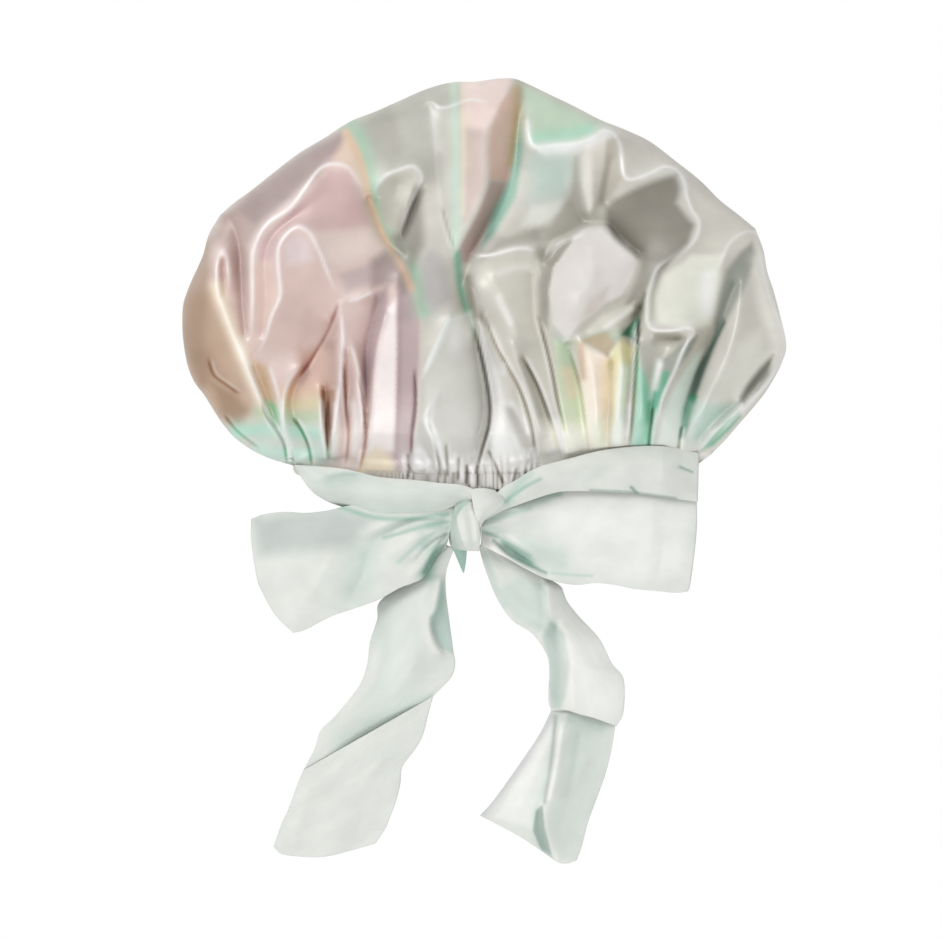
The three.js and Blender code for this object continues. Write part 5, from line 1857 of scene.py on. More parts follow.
@dataclass(frozen=True)
class RibbonCut:
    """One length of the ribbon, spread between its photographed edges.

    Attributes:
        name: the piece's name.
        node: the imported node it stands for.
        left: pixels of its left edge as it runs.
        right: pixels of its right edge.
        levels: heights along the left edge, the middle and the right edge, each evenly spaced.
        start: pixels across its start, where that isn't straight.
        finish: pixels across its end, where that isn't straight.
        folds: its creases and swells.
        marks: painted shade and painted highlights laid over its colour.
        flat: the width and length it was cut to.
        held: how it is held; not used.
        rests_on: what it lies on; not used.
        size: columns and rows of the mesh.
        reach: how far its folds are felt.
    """

    name: str
    node: str
    left: Pixels
    right: Pixels
    levels: tuple[tuple[float, ...], tuple[float, ...], tuple[float, ...]]
    start: Pixels = ()
    finish: Pixels = ()
    folds: tuple[FoldLine, ...] = ()
    marks: tuple[Mark, ...] = ()
    flat: tuple[float, float] = (62.0, 100.0)
    held: Hold = Hold.LAID
    rests_on: tuple[str, ...] = ()
    size: tuple[int, int] = (64, 90)
    reach: float = 12.0

    def surface(self) -> tuple[Array, Array]:
        """Spreads the ribbon between its edges and lifts it over its folds.

        Returns:
            A grid of points, with rows along the ribbon, and their colours with painted shade and painted
            highlights.
        """
        columns, rows = self.size
        u = np.linspace(0, 1, columns)
        v = np.linspace(0, 1, rows)
        left = curve_through(VIEW.to_table(self.left), v)
        right = curve_through(VIEW.to_table(self.right), v)
        first = self.across(self.start, left[0], right[0], u)
        last = self.across(self.finish, left[-1], right[-1], u)
        points = span_between(first, last, left, right, u, v)
        sides = [np.interp(v, np.linspace(0, 1, len(level)), level) for level in self.levels]
        weights = ((1 - u) * (1 - 2 * u), 4 * u * (1 - u), u * (2 * u - 1))
        height = sum(side[:, None] * weight[None] for side, weight in zip(sides, weights))
        shade = np.ones(height.shape)
        if self.folds:
            flat = points.reshape(-1, 2)
            low, high = flat.min(axis=0) - RIBBON_MARGIN, flat.max(axis=0) + RIBBON_MARGIN
            cloth = StretchedCloth(low, high, reach=self.reach, softness=RIBBON_SOFTNESS)
            height = height + cloth.solve(self.folds).at(points)
            shade = cloth.shading(points, CREPE_PAINTED_FOLD_LIGHT)
        # Painted shade and highlight of the folds, with a mint cast, over the ribbon's painted marks.
        dye_and_painted_light = dyed_with_painted_light(CREPE_BASE, self.marks, points) * shade[..., None] ** SHADE_MINT
        return np.dstack([points, height]), dye_and_painted_light

    def edge_levels(self, side: Side) -> Array:
        """Heights at the pixels of its left or right edge."""
        edge, level = (self.left, self.levels[0]) if side is Side.LEFT else (self.right, self.levels[-1])
        return np.interp(np.linspace(0, 1, len(edge)), np.linspace(0, 1, len(level)), level)

    @staticmethod
    def across(pixels: Pixels, first: Array, last: Array, u: Array) -> Array:
        """Points across an end of the ribbon, straight where no pixels are given."""
        if pixels:
            return curve_through(VIEW.to_table(pixels), u)
        return first + (last - first) * u[:, None]

    def make(self, crepe: bpy.types.Material) -> bpy.types.Object:
        """Makes the ribbon with its thickness.

        Args:
            crepe: the ribbon's finish.

        Returns:
            The piece.
        """
        points, dye_and_painted_light = self.surface()
        index = np.arange(points.size // 3).reshape(points.shape[:2])
        u = np.linspace(0, self.flat[0], self.size[0])
        v = np.linspace(0, self.flat[1], self.size[1])
        flat = np.stack(np.meshgrid(u, v), axis=-1).reshape(-1, 2)
        cloth = ClothMesh(points.reshape(-1, 3), grid_faces(index), flat, dye_and_painted_light.reshape(-1, 3))
        piece = cloth.make(self.name, crepe)
        thicken(piece)
        return piece


def thicken(piece: bpy.types.Object) -> None:
    """Gives a ribbon its thickness."""
    solid = piece.modifiers.new("thickness", "SOLIDIFY")
    solid.thickness = RIBBON_THICK * MM
    solid.offset = 0.0


SASH_LEFT = RibbonCut(
    name="ribbon_left",
    node="sash_left",
    left=((294, 466), (310, 489), (325, 500), (340, 506), (357, 511), (372, 518), (400, 519), (420, 516),
        (440, 511), (457, 505), (468, 502)),
    right=((295, 465), (312, 466), (345, 469), (380, 477), (415, 480), (440, 483), (456, 484), (466, 486),
        (474, 490), (475, 497)),
    levels=(
        (14, 17.5, 14, 10, 9, 9, 10, 12, 14, 16, 17),
        (15, 21, 23.5, 24, 24.5, 25, 25, 25, 24.5, 23.5, 22),
        (15, 21, 23, 24.5, 25.5, 26, 26.5, 26.5, 26.5, 26, 24),
    ),
    folds=(
        FoldLine("upper crease", ((326, 481), (350, 475), (380, 479)), (-1, -3, -1)),
        FoldLine("upper flap", ((322, 474), (350, 470.5), (378, 474)), (1, 1.5, 1)),
    ),
    # Painted shade along the lower edge and in the upper crease, and a darker patch over most of the sash.
    marks=(
        DyeAndPaintedLightBand(((345, 508), (372, 516), (420, 515)), CREPE_SHADE, 8, 0.6),
        DyeAndPaintedLightPatch(((300, 470), (345, 472), (400, 482), (460, 488), (460, 505), (400, 517), (360, 510),
            (320, 496)), (212, 222, 216), 6, 0.6),
        DyeAndPaintedLightBand(((330, 481), (352, 477)), CREPE_SHADE, 7, 0.4),
    ),
    flat=(31.0, 90.0),
    held=Hold.FOLDED,
    rests_on=("mouth_band",),
)
SASH_RIGHT = RibbonCut(
    name="ribbon_right",
    node="sash_right",
    left=((493, 501), (497, 493), (503, 487), (516, 480), (530, 471), (545, 465), (568, 459), (590, 453),
        (610, 449), (640, 446), (660, 446), (678, 448), (690, 451), (699, 453)),
    right=((482, 522), (500, 512), (520, 504), (553, 493), (575, 491), (612, 492), (640, 494), (677, 499),
        (698, 502)),
    levels=(
        (24, 26, 28, 28.5, 28, 27, 17),
        (21, 27, 29.5, 30, 29, 26, 15),
        (17, 19, 21.5, 22.5, 22, 19, 12),
    ),
    folds=(
        FoldLine("knot wedge", ((532, 473), (519, 486), (508, 502)), (-1, -3.5, -3)),
        FoldLine("wedge side", ((545, 474), (530, 488), (515, 500)), (1, 2, 1)),
        FoldLine("tick", ((630, 486), (637, 493)), (-2, -2.5)),
        FoldLine("dash", ((679, 467), (693, 472)), (-2.5, -1)),
        FoldLine("shallow hollow", ((585, 483), (602, 476), (612, 468)), (-1.5, -2, -1)),
    ),
    # Painted shade in the wedge by the knot, and painted shade along the crease lines.
    marks=(
        DyeAndPaintedLightBand(((530, 476), (518, 488), (508, 502)), CREPE_SHADE, 6, 0.6),
        DyeAndPaintedLightBand(((540, 479), (522, 489), (506, 501)), CREPE_DEEP_SHADE, 2.2, 0.7),
        DyeAndPaintedLightBand(((631, 487), (637, 493)), CREPE_CREASE_SHADE, 1.6, 0.8),
        DyeAndPaintedLightBand(((680, 467), (692, 472)), CREPE_CREASE_SHADE, 1.6, 0.6),
        DyeAndPaintedLightBand(((590, 490), (630, 492), (676, 498)), CREPE_CREASE_SHADE, 1.4, 0.6),
    ),
    flat=(31.0, 112.0),
    held=Hold.FOLDED,
    rests_on=("mouth_band",),
    size=(60, 120),
)
TAIL_LEFT = RibbonCut(
    name="tail_left_ribbon",
    node="tail_left_upper",
    left=((446, 545), (425, 570), (400, 586), (379, 603), (377, 620), (370, 642), (367, 665), (360, 685),
        (345, 705), (332, 720), (320, 732), (314, 750), (303, 771)),
    right=((454, 548), (446, 572), (446, 595), (449, 620), (453, 650), (455, 665), (451, 678), (440, 690),
        (433, 697)),
    levels=((9, 3, 1, 1, 1, 1, 1), (10, 6, 6, 6, 6, 4, 3), (9, 4, 3, 2, 1, 1, 1)),
    folds=(
        FoldLine("front layer edge", ((441, 654), (433, 641), (429, 620), (436, 608), (441, 580)),
            (3, 4, 5, 5, 4), (-1, -2, -2, -2, -1)),
        FoldLine("hollow over the crease", ((414, 708), (390, 724), (362, 742), (335, 756)),
            (-1, -2.5, -3, -1)),
        FoldLine("left roll", ((381, 642), (376, 668), (366, 690), (350, 710), (335, 725)),
            (2, 3, 3, 2.5, 1)),
        FoldLine("crest", ((420, 640), (412, 668), (392, 690)), (2, 3, 1)),
    ),
    # Painted shade on the flap under the front layer's edge, along the crease and by the knot.
    marks=(
        DyeAndPaintedLightPatch(((441, 580), (447, 600), (453, 640), (453, 655), (440, 648), (431, 630), (433, 612)),
            (180, 203, 194), 2.5, 0.85),
        DyeAndPaintedLightBand(((415, 703), (385, 720), (345, 745)), (198, 217, 208), 14, 0.6),
        DyeAndPaintedLightBand(((431, 698), (385, 727), (335, 760)), (170, 188, 180), 3, 0.6),
        DyeAndPaintedLightBand(((415, 600), (405, 650), (385, 690)), (224, 231, 225), 26, 0.6),
        DyeAndPaintedLightBand(((382, 608), (376, 645)), (206, 219, 212), 10, 0.5),
        DyeAndPaintedLightBand(((425, 560), (428, 574)), CREPE_DEEP_SHADE, 9, 0.8),
    ),
    flat=(62.0, 90.0),
    rests_on=("knot_middle",),
    size=(70, 130),
)
TAIL_LEFT_TIP = RibbonCut(
    name="tail_left_tip_ribbon",
    node="tail_left_end",
    left=((303, 771), (297, 785), (288, 810), (281, 825), (273, 848)),
    right=((433, 697), (428, 715), (423, 735), (415, 750), (402, 768), (400, 785), (395, 805), (389, 820),
        (385, 830), (375, 845)),
    levels=((1, 0.6, 0.6), (3, 4, 2), (1, 0.6, 0.6)),
    finish=((273, 848), (280, 855), (298, 858), (325, 858), (350, 852), (375, 845)),
    folds=(
        FoldLine("crest under the crease", ((412, 722), (390, 738), (362, 755), (335, 768)), (1, 2, 2, 1)),
        FoldLine("left roll", ((308, 790), (300, 815), (292, 840)), (2, 2, 1)),
    ),
    flat=(62.0, 70.0),
    rests_on=("tail_left_ribbon",),
    size=(70, 80),
)
TAIL_RIGHT = RibbonCut(
    name="tail_right_ribbon",
    node="tail_right_upper",
    left=((479, 547), (485, 568), (497, 598), (512, 620), (530, 632), (540, 643), (547, 657), (549, 680),
        (549, 702), (552, 712)),
    right=((484, 540), (510, 556), (540, 574), (560, 586), (564, 594), (568, 603), (580, 618), (600, 640),
        (612, 664), (624, 680), (624, 712), (617, 727)),
    levels=((9, 3, 1, 1, 1, 1), (11, 8, 7, 7, 7, 6), (10, 6, 2, 1, 1, 2)),
    finish=((552, 712), (566, 711), (580, 715), (595, 719), (617, 727)),
    folds=(
        FoldLine("panel edge", ((546, 583), (548, 612), (544, 634)), (3, 3, 3), (-2, -2, -2)),
        FoldLine("flap side", ((563, 626), (570, 655), (572, 690), (574, 708)), (3, 3, 3, 3)),
        FoldLine("flap hollow", ((556, 625), (558, 660), (559, 700)), (-3, -3, -2)),
        FoldLine("knot crease", ((482, 548), (498, 558), (508, 573)), (-3, -3, 0)),
    ),
    # Painted shade on the flap and the panel by the knot, and a painted highlight on the flat right side.
    marks=(
        DyeAndPaintedLightPatch(((548, 619), (565, 633), (571, 660), (567, 695), (561, 710), (551, 710), (549, 660),
            (542, 636)), (188, 202, 195), 3, 0.85),
        DyeAndPaintedLightPatch(((497, 590), (520, 578), (547, 586), (550, 622), (541, 634), (516, 618)), (208, 222, 215), 5,
            0.7),
        DyeAndPaintedLightBand(((485, 556), (494, 585), (505, 606)), (198, 213, 206), 5, 0.6),
        DyeAndPaintedLightBand(((590, 655), (600, 695)), (245, 247, 243), 26, 0.9),
    ),
    flat=(62.0, 80.0),
    rests_on=("knot_middle",),
    size=(70, 120),
)
TAIL_RIGHT_TIP = RibbonCut(
    name="tail_right_tip_ribbon",
    node="tail_right_end",
    left=((554, 706), (540, 735), (520, 765), (495, 800), (480, 817)),
    right=((617, 720), (612, 750), (606, 775), (597, 800), (588, 825), (582, 848), (577, 862)),
    levels=((1, 1, 0.6), (2, 3, 2), (1, 1, 0.6)),
    finish=((480, 817), (500, 827), (520, 838), (535, 848), (556, 862), (566, 865), (577, 862)),
    folds=(
        FoldLine("long lap", ((566, 714), (560, 735), (555, 765), (549, 795), (544, 812), (544, 828),
            (549, 846), (558, 861)), (2, 3, 3, 3, 4, 4, 4, 3), (-1, -1, -1, -1, -2, -2, -2, -1)),
        FoldLine("right panel hollow", ((580, 735), (576, 765), (568, 800)), (-1, -1.5, 0)),
        FoldLine("left panel crest", ((545, 750), (530, 785), (515, 815)), (1, 2, 1)),
    ),
    # Painted shade under the cross fold and in the gap between the lapped panels, and painted highlights on
    # the left panel and the lap's edge.
    marks=(
        DyeAndPaintedLightPatch(((562, 712), (614, 724), (606, 775), (590, 822), (578, 862), (556, 860), (548, 835),
            (546, 812), (556, 770)), (214, 222, 215), 3, 0.8),
        DyeAndPaintedLightBand(((585, 735), (576, 790)), (203, 214, 207), 14, 0.5),
        DyeAndPaintedLightPatch(((550, 726), (556, 722), (549, 800), (536, 812), (533, 830), (495, 818)), (244, 246, 242), 6,
            0.9),
        DyeAndPaintedLightBand(((552, 716), (520, 766), (483, 815)), (200, 199, 203), 5, 0.6),
        DyeAndPaintedLightBand(((556, 718), (552, 760), (545, 803)), (166, 179, 172), 2.4, 0.7),
        DyeAndPaintedLightPatch(((536, 812), (543, 806), (545, 828), (553, 858), (541, 851), (533, 832)), (162, 180, 172),
            1.5, 0.9),
        DyeAndPaintedLightBand(((572, 720), (600, 727)), (188, 203, 196), 7, 0.7),
        PaintedHighlight(((563, 716), (557, 765), (548, 806)), 0.5, 2.0),
    ),
    flat=(62.0, 72.0),
    rests_on=("tail_right_ribbon",),
    size=(70, 90),
)


@dataclass(frozen=True)
class BowLoop:
    """One loop of the bow: a ribbon that runs out from the knot, turns and runs back underneath.

    Attributes:
        front: the upper layer.
        body: the body that its far end follows; not used.
        joint: where it starts to bend, at the knot; not used.
        bend_end: where the bend is over; not used.
        depth: between the layers where the loop is fullest.
        knot_share: the share of that depth at the knot.
        opening: the share of its length over which it fills out.
        end_power: how late it closes towards its end.
        floor: the lowest that the under layer lies.
    """

    front: RibbonCut
    body: Body
    joint: Place
    bend_end: Place
    depth: float = 11.0
    knot_share: float = 0.5
    opening: float = 0.3
    end_power: float = 4.0
    floor: float = 6.0

    def build(self, crepe: bpy.types.Material) -> bpy.types.Object:
        """Makes both layers as one sheet that turns at the loop's end.

        The depth between the layers is the root of one less a power of the way out, and less by the knot.

        Args:
            crepe: the ribbon's finish.

        Returns:
            The piece.
        """
        top, dye_and_painted_light = self.front.surface()
        base = top.copy()
        share = np.linspace(0, 1, top.shape[0])[:, None]
        filled = self.knot_share + (1 - self.knot_share) * ease(0.0, self.opening, share)
        gap = self.depth * np.sqrt(np.clip(1 - share**self.end_power, 0, 1)) * filled
        base[..., 2] = np.maximum(top[..., 2] - gap, self.floor)
        sheet = np.concatenate([top, base[-2::-1]])
        index = np.arange(sheet.size // 3).reshape(sheet.shape[:2])
        u = np.linspace(0, self.front.flat[0], sheet.shape[1])
        v = np.linspace(0, 2 * self.front.flat[1], sheet.shape[0])
        flat = np.stack(np.meshgrid(u, v), axis=-1).reshape(-1, 2)
        tint_and_painted_light = np.concatenate([dye_and_painted_light, dye_and_painted_light[-2::-1]]).reshape(-1, 3)
        piece = ClothMesh(sheet.reshape(-1, 3), grid_faces(index), flat, tint_and_painted_light).make(self.front.name, crepe)
        thicken(piece)
        dress(piece, self.front.node, None)
        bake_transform(piece)
        return piece


LOOP_LEFT = BowLoop(
    front=RibbonCut(
        name="loop_left_ribbon",
        node="bow_loop_left",
        left=((446, 548), (436, 557), (428, 571), (420, 580), (400, 588), (378, 600), (350, 610),
            (330, 617), (305, 630), (293, 633)),
        right=((456, 506), (425, 508), (390, 506), (355, 505), (338, 508), (325, 511), (305, 513),
            (285, 512), (265, 514), (251, 519)),
        levels=((15, 13, 12, 12, 11, 9), (17, 17, 16, 16, 15, 9), (15, 14, 13, 13, 12, 9)),
        finish=((293, 633), (275, 615), (261, 590), (256, 575), (251, 540), (251, 519)),
        folds=(
            FoldLine("long crease", ((448, 523), (425, 520), (405, 524), (388, 532), (370, 541)),
                (-2, -2, -3, -3, -1)),
            FoldLine("ridge over the crease", ((440, 517), (410, 517), (385, 525), (362, 535)),
                (1, 2, 2, 1)),
            FoldLine("ridge under the crease", ((446, 528), (425, 533), (405, 542), (385, 556)),
                (2, 3, 3, 1)),
            FoldLine("pleat valley", ((446, 534), (430, 545), (416, 560)), (-3, -3, -1)),
            FoldLine("pleat ridge", ((446, 540), (432, 552), (418, 570), (405, 580)), (2, 3, 3, 1)),
            FoldLine("dark gap", ((444, 546), (434, 559), (426, 575)), (-5, -7, -5)),
            FoldLine("middle hollow", ((368, 552), (362, 574), (352, 594)), (-2.5, -3.5, -2)),
            FoldLine("lower crest", ((330, 556), (318, 582), (302, 606)), (1, 2, 1)),
        ),
        # Painted shade in the dark gap, the creases and over the loop's far part, and painted highlights on
        # the pleat ridges.
        marks=(
            DyeAndPaintedLightBand(((436, 554), (427, 574)), CREPE_DEEP_SHADE, 8, 0.8),
            DyeAndPaintedLightPatch(((250, 517), (340, 507), (372, 520), (352, 545), (300, 552), (258, 556)), (194, 201, 197),
                10, 0.85),
            DyeAndPaintedLightBand(((340, 507), (372, 517), (405, 519), (448, 514)), CREPE_DEEP_SHADE, 3, 0.7),
            DyeAndPaintedLightBand(((448, 522), (430, 525), (405, 532), (384, 538)), CREPE_DEEP_SHADE, 2.2, 0.6),
            DyeAndPaintedLightBand(((448, 527), (435, 532), (415, 547), (398, 562)), CREPE_SHADE, 2.5, 0.7),
            DyeAndPaintedLightBand(((447, 534), (437, 547), (424, 572)), CREPE_CREASE_SHADE, 2.5, 0.6),
            DyeAndPaintedLightBand(((447, 541), (440, 552), (434, 568)), CREPE_CREASE_SHADE, 2.0, 0.5),
            PaintedHighlight(((446, 530), (428, 540), (408, 560)), 0.5, 2.5),
            PaintedHighlight(((444, 517), (415, 523), (390, 533)), 0.4, 2.5),
            DyeAndPaintedLightBand(((365, 555), (355, 590)), CREPE_SHADE, 18, 0.45),
            DyeAndPaintedLightBand(((440, 525), (428, 526)), CREPE_DEEP_SHADE, 4, 0.5),
            DyeAndPaintedLightBand(((422, 531), (424, 545)), CREPE_SHADE, 6, 0.5),
        ),
        flat=(62.0, 102.0),
        size=(110, 150),
    ),
    body=Body.LOOP_LEFT,
    joint=(-26.35, -28.0, 14.0),
    bend_end=(-52.0, -36.0, 14.0),
)
LOOP_RIGHT = BowLoop(
    front=RibbonCut(
        name="loop_right_ribbon",
        node="bow_loop_right",
        left=((482, 516), (500, 506), (520, 498), (545, 490), (575, 486), (612, 486), (640, 488),
            (677, 494), (697, 501)),
        right=((481, 545), (505, 557), (530, 571), (550, 580), (575, 585), (595, 583), (615, 585),
            (635, 589), (655, 591), (675, 593), (687, 592)),
        levels=((15, 15, 16.5, 17, 16, 10), (17, 17, 17.5, 17, 15.5, 10), (15, 13, 12, 12, 11, 9)),
        finish=((697, 504), (697, 530), (694, 560), (690, 587), (687, 592)),
        folds=(
            FoldLine("knot crease", ((482, 531), (498, 533), (512, 541)), (-3, -3, -1)),
            FoldLine("upper ridge", ((484, 527), (505, 522), (540, 512)), (1, 2, 1)),
            FoldLine("slit", ((503, 543), (516, 555), (546, 575)), (-4, -6, -1)),
            FoldLine("ridge under the slit", ((490, 545), (515, 562), (545, 580)), (2, 3, 1)),
            FoldLine("ridge over the slit", ((500, 537), (525, 549), (560, 566)), (1, 1, 0)),
            FoldLine("end hollow", ((664, 540), (660, 565), (655, 585)), (-1, -2, -1)),
        ),
        # A painted highlight over the loop's body, painted shade in the slit and the creases by the knot, and
        # painted highlights on the ridges beside the slit.
        marks=(
            DyeAndPaintedLightPatch(((530, 508), (575, 496), (688, 506), (688, 580), (620, 576), (572, 566)), (240, 242, 238),
                14, 0.9),
            DyeAndPaintedLightBand(((508, 547), (530, 563)), CREPE_DEEP_SHADE, 5, 0.75),
            DyeAndPaintedLightBand(((482, 517), (500, 508), (522, 500), (560, 494)), CREPE_DEEP_SHADE, 3, 0.6),
            DyeAndPaintedLightBand(((482, 523), (505, 515), (530, 508)), CREPE_SHADE, 2.2, 0.7),
            DyeAndPaintedLightBand(((482, 531), (505, 541), (530, 556)), CREPE_DEEP_SHADE, 2.0, 0.6),
            DyeAndPaintedLightBand(((494, 541), (511, 556), (546, 573)), CREPE_CREASE_SHADE, 2.0, 0.7),
            DyeAndPaintedLightBand(((552, 573), (572, 575), (592, 576)), CREPE_SHADE, 1.8, 0.7),
            PaintedHighlight(((482, 527), (508, 536), (535, 552)), 0.4, 2.2),
            PaintedHighlight(((488, 545), (512, 561), (540, 575)), 0.4, 2.2),
            DyeAndPaintedLightBand(((525, 546), (560, 562)), CREPE_SHADE, 12, 0.5),
            DyeAndPaintedLightBand(((484, 526), (515, 511), (545, 500)), CREPE_SHADE, 5, 0.5),
        ),
        flat=(62.0, 98.0),
        size=(110, 150),
    ),
    body=Body.LOOP_RIGHT,
    joint=(-5.65, -24.0, 14.0),
    bend_end=(22.0, -26.0, 14.0),
)

KNOT_MIDDLE = RibbonCut(
    name="knot_middle",
    node="knot_core",
    left=((460, 494), (455, 506), (452, 516), (449, 526), (449, 538), (451, 546), (457, 550)),
    right=((478, 494), (481, 508), (481, 525), (480, 540), (479, 548), (477, 551)),
    levels=((16, 17, 16, 15, 12, 9), (20, 22, 22, 22, 19, 13), (16, 17, 16, 15, 13, 9)),
    # Painted shade in the recess beside the knot's turn.
    marks=(
        DyeAndPaintedLightBand(((455, 517), (453, 530), (455, 545)), (184, 200, 192), 7, 0.85),
        DyeAndPaintedLightBand(((464, 500), (460, 512)), (176, 202, 191), 6, 0.8),
    ),
    flat=(28.0, 33.0),
    held=Hold.FOLDED,
    rests_on=("mouth_band",),
    size=(50, 60),
)
KNOT_WRAP = RibbonCut(
    name="knot_turn",
    node="knot_wrap",
    left=((468, 503), (461, 510), (457, 518), (459, 530), (462, 541), (466, 550)),
    right=((473, 502), (477, 512), (479, 525), (480, 538), (479, 551)),
    levels=((20, 23, 24, 23.5, 22, 14), (23, 25.5, 26.5, 26, 24, 15), (21, 24, 25, 24, 22, 14)),
    folds=(
        FoldLine("turn crease", ((471, 508), (474, 520), (476, 534), (477, 548)), (0.5, 1, 1, 0.5),
            (-1, -1, -1, -1)),
        FoldLine("left swell", ((463, 518), (465, 532), (468, 545)), (0.5, 1, 0.5)),
    ),
    flat=(14.0, 28.0),
    held=Hold.FOLDED,
    rests_on=("knot_middle",),
    size=(40, 60),
    reach=5.0,
)
KNOT_OVER = RibbonCut(
    name="knot_over",
    node="knot_wrap",
    left=((470, 489), (472, 499), (474, 510), (477, 521), (479, 527)),
    right=((495, 490), (504, 501), (497, 510), (486, 518), (480, 528)),
    levels=((23, 25, 26, 25, 22), (26.5, 28.5, 28, 26, 22), (23, 23.5, 23, 22, 20)),
    start=((470, 489), (482, 488), (495, 490)),
    folds=(FoldLine("over crease", ((473, 500), (476, 512), (478, 522)), (1, 1, 0.5)),),
    flat=(18.0, 20.0),
    held=Hold.FOLDED,
    rests_on=("knot_middle",),
    size=(40, 40),
    reach=5.0,
)
KNOT_TIP = RibbonCut(
    name="knot_tip",
    node="knot_core",
    left=((451, 545), (456, 556), (463, 573)),
    right=((467, 547), (466, 560), (464, 573)),
    levels=((11, 7, 4), (12, 8, 4), (11, 7, 4)),
    # Painted shade over the tip under the knot.
    marks=(DyeAndPaintedLightBand(((460, 546), (463, 572)), (152, 188, 174), 14, 0.9),),
    flat=(10.0, 10.0),
    held=Hold.FOLDED,
    rests_on=("knot_middle",),
    size=(24, 30),
)
SASH_UNDER = RibbonCut(
    name="ribbon_under",
    node="sash_back",
    left=((334, 475), (495, 475), (676, 475)),
    right=((334, 498), (495, 500), (676, 500)),
    levels=((0.4, 0.4, 0.4), (0.4, 0.4, 0.4), (0.4, 0.4, 0.4)),
    flat=(14.5, 190.0),
    held=Hold.FOLDED,
    rests_on=("mouth_band",),
    size=(16, 120),
)


@dataclass(frozen=True)
class Tail:
    """A length of tail, and the two bodies that it would bend between.

    Attributes:
        cut: the ribbon.
        first: the body that its start follows; not used.
        then: the body that its end follows; not used.
        bend_start: X and Y where the bend begins; not used.
        bend_end: X and Y where it is over; not used.
    """

    cut: RibbonCut
    first: Body
    then: Body
    bend_start: tuple[float, float]
    bend_end: tuple[float, float]

    def build(self, crepe: bpy.types.Material) -> bpy.types.Object:
        """Makes the ribbon, hides the imported node that it stands for, and bakes its place into its mesh.

        Args:
            crepe: the ribbon's finish.

        Returns:
            The piece.
        """
        piece = self.cut.make(crepe)
        dress(piece, self.cut.node, None)
        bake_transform(piece)
        return piece


@dataclass
class Bow:
    """The sash, the knot, the loops and the tails, all cut from one ribbon.

    Attributes:
        fixed: the lengths that stay on the bonnet.
        loops: the two loops of the bow.
        tails: the lengths of the two tails, those by the knot first.
    """

    fixed: tuple[RibbonCut, ...] = (
        SASH_LEFT, SASH_RIGHT, SASH_UNDER, KNOT_MIDDLE, KNOT_WRAP, KNOT_OVER, KNOT_TIP,
    )
    loops: tuple[BowLoop, ...] = (LOOP_LEFT, LOOP_RIGHT)
    tails: tuple[Tail, ...] = (
        Tail(TAIL_LEFT, Body.BONNET, Body.TAIL_LEFT, (-24.0, -30.0), (-30.0, -56.0)),
        Tail(TAIL_RIGHT, Body.BONNET, Body.TAIL_RIGHT, (-8.0, -30.0), (4.0, -54.0)),
        Tail(TAIL_LEFT_TIP, Body.TAIL_LEFT, Body.TAIL_LEFT_TIP, (-70.0, -134.0), (-73.0, -140.0)),
        Tail(TAIL_RIGHT_TIP, Body.TAIL_RIGHT, Body.TAIL_RIGHT_TIP, (48.5, -124.0), (47.5, -131.0)),
    )

    def build(self, crepe: bpy.types.Material) -> list[bpy.types.Object]:
        """Makes the pieces that ride on the bonnet, and then the loops and the tails.

        Args:
            crepe: the ribbon's finish.

        Returns:
            All pieces.
        """
        pieces = []
        for cut in self.fixed:
            piece = cut.make(crepe)
            dress(piece, cut.node, Body.BONNET)
            pieces.append(piece)
        pieces += [loop.build(crepe) for loop in self.loops]
        pieces += [tail.build(crepe) for tail in self.tails]
        return pieces


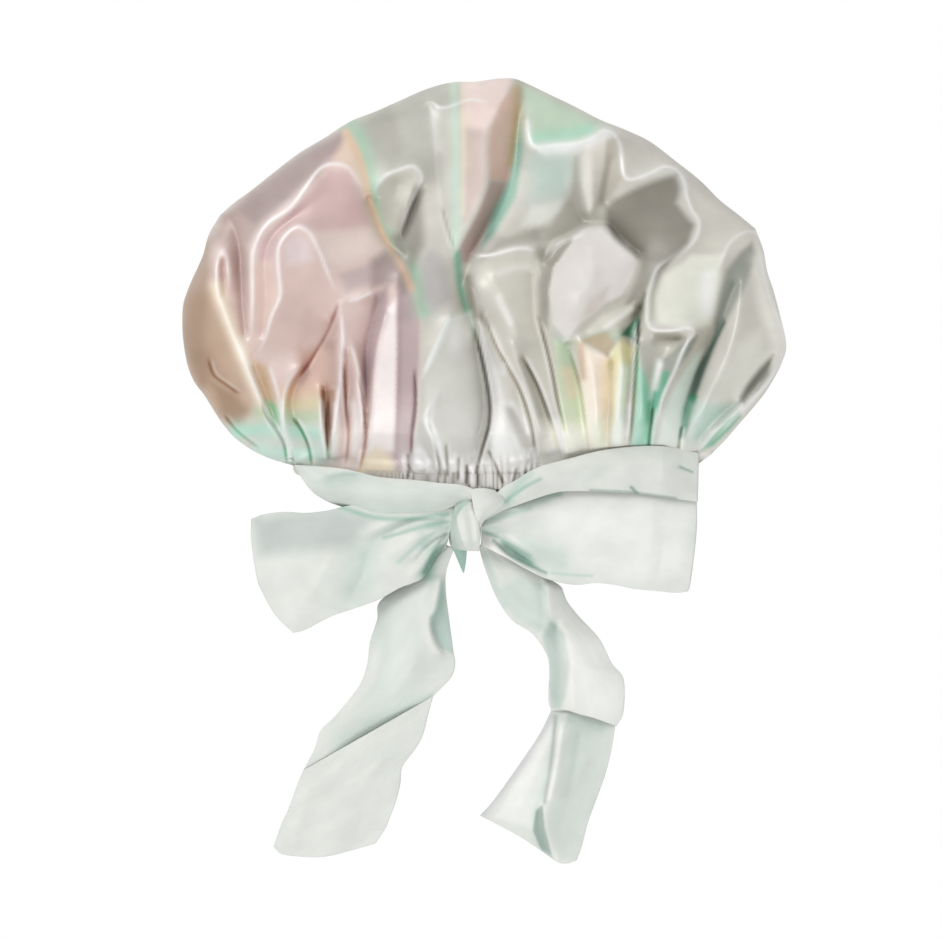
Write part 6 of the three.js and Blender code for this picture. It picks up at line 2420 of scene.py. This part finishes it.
@dataclass
class Studio:
    """A plain white floor under an even glow, with a soft key light behind the crown and a fill in front.

    The glow is a little dimmer at the horizon, so cloth on a slope mirrors a little less of it.
    """

    floor_level: float = -0.3
    floor_size: float = 6.0
    floor_bounce: float = 0.85
    key_energy: float = 9.0
    key_place: Place = (-0.85, 0.85, 1.1)
    fill_energy: float = 5.0
    fill_place: Place = (0.1, -1.3, 0.7)
    lamp_size: float = 0.75
    zenith: float = 0.7
    horizon: float = 0.66
    glow_low: float = 0.15
    glow_high: float = 0.95

    def build(self) -> None:
        """Makes the floor, the two lights and the glow."""
        bpy.context.scene.view_settings.view_transform = "Standard"
        self.lay_floor()
        self.hang_light("overhead_key", self.key_energy, self.key_place)
        self.hang_light("front_fill", self.fill_energy, self.fill_place)
        self.light_world()

    def lay_floor(self) -> None:
        """Lays paper that the camera sees as plain white, and that throws little light back on the cloth."""
        half = self.floor_size / 2
        mesh = bpy.data.meshes.new("floor")
        corners = [(-half, -half), (half, -half), (half, half), (-half, half)]
        mesh.from_pydata([(x, y, self.floor_level * MM) for x, y in corners], [], [(0, 1, 2, 3)])
        paper = bpy.data.materials.new("white_paper")
        paper.use_nodes = True
        tree = paper.node_tree
        pad = NodePad(tree)
        seen = pad.add("ShaderNodeLightPath").outputs["Is Camera Ray"]
        dull = pad.add("ShaderNodeBsdfDiffuse", {"Color": (self.floor_bounce,) * 3 + (1.0,)})
        white = pad.add("ShaderNodeEmission", {"Strength": 1.0})
        mixed = pad.add("ShaderNodeMixShader", {0: seen, 1: dull.outputs[0], 2: white.outputs[0]})
        tree.links.new(mixed.outputs[0], tree.nodes["Material Output"].inputs["Surface"])
        mesh.materials.append(paper)
        floor = bpy.data.objects.new("floor", mesh)
        bpy.context.scene.collection.objects.link(floor)

    def hang_light(self, name: str, energy: float, place: Place) -> None:
        """Hangs a round soft light that faces the bonnet.

        Args:
            name: the light's name.
            energy: its power in watts.
            place: where it hangs, in metres.
        """
        data = bpy.data.lights.new(name, "AREA")
        data.shape = "DISK"
        data.size = self.lamp_size
        data.energy = energy
        lamp = bpy.data.objects.new(name, data)
        lamp.location = place
        lamp.rotation_euler = Vector(place).to_track_quat("Z", "Y").to_euler()
        bpy.context.scene.collection.objects.link(lamp)

    def light_world(self) -> None:
        """Lights the world by the height of each direction: a little dimmer at the horizon than overhead."""
        world = bpy.data.worlds.new("overhead_glow")
        world.use_nodes = True
        tree = world.node_tree
        pad = NodePad(tree)
        toward = pad.add("ShaderNodeTexCoord").outputs["Generated"]
        rise = pad.add("ShaderNodeSeparateXYZ", {0: toward}).outputs["Z"]
        glow = pad.add(
            "ShaderNodeMapRange",
            {0: rise, 1: self.glow_low, 2: self.glow_high, 3: self.horizon, 4: self.zenith},
            interpolation_type="SMOOTHSTEP",
        )
        sky = tree.nodes["Background"]
        sky.inputs["Color"].default_value = (1.0, 1.0, 1.0, 1.0)
        tree.links.new(glow.outputs[0], sky.inputs["Strength"])
        bpy.context.scene.world = world


def main() -> None:
    """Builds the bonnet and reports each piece."""
    logging.basicConfig(level=logging.INFO)
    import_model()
    VIEW.place_camera()
    Studio().build()
    mouth = Mouth()
    satin, crepe = SATIN.build(), CREPE.build()
    pieces = Crown(mouth).build(satin, LINING.build())
    pieces += MouthBand(mouth).build(satin, ELASTIC.build())
    pieces += Bow().build(crepe)
    for piece in pieces:
        LOG.info("made %s with %d faces", piece.name, len(piece.data.polygons))


if __name__ == "__main__":
    main()
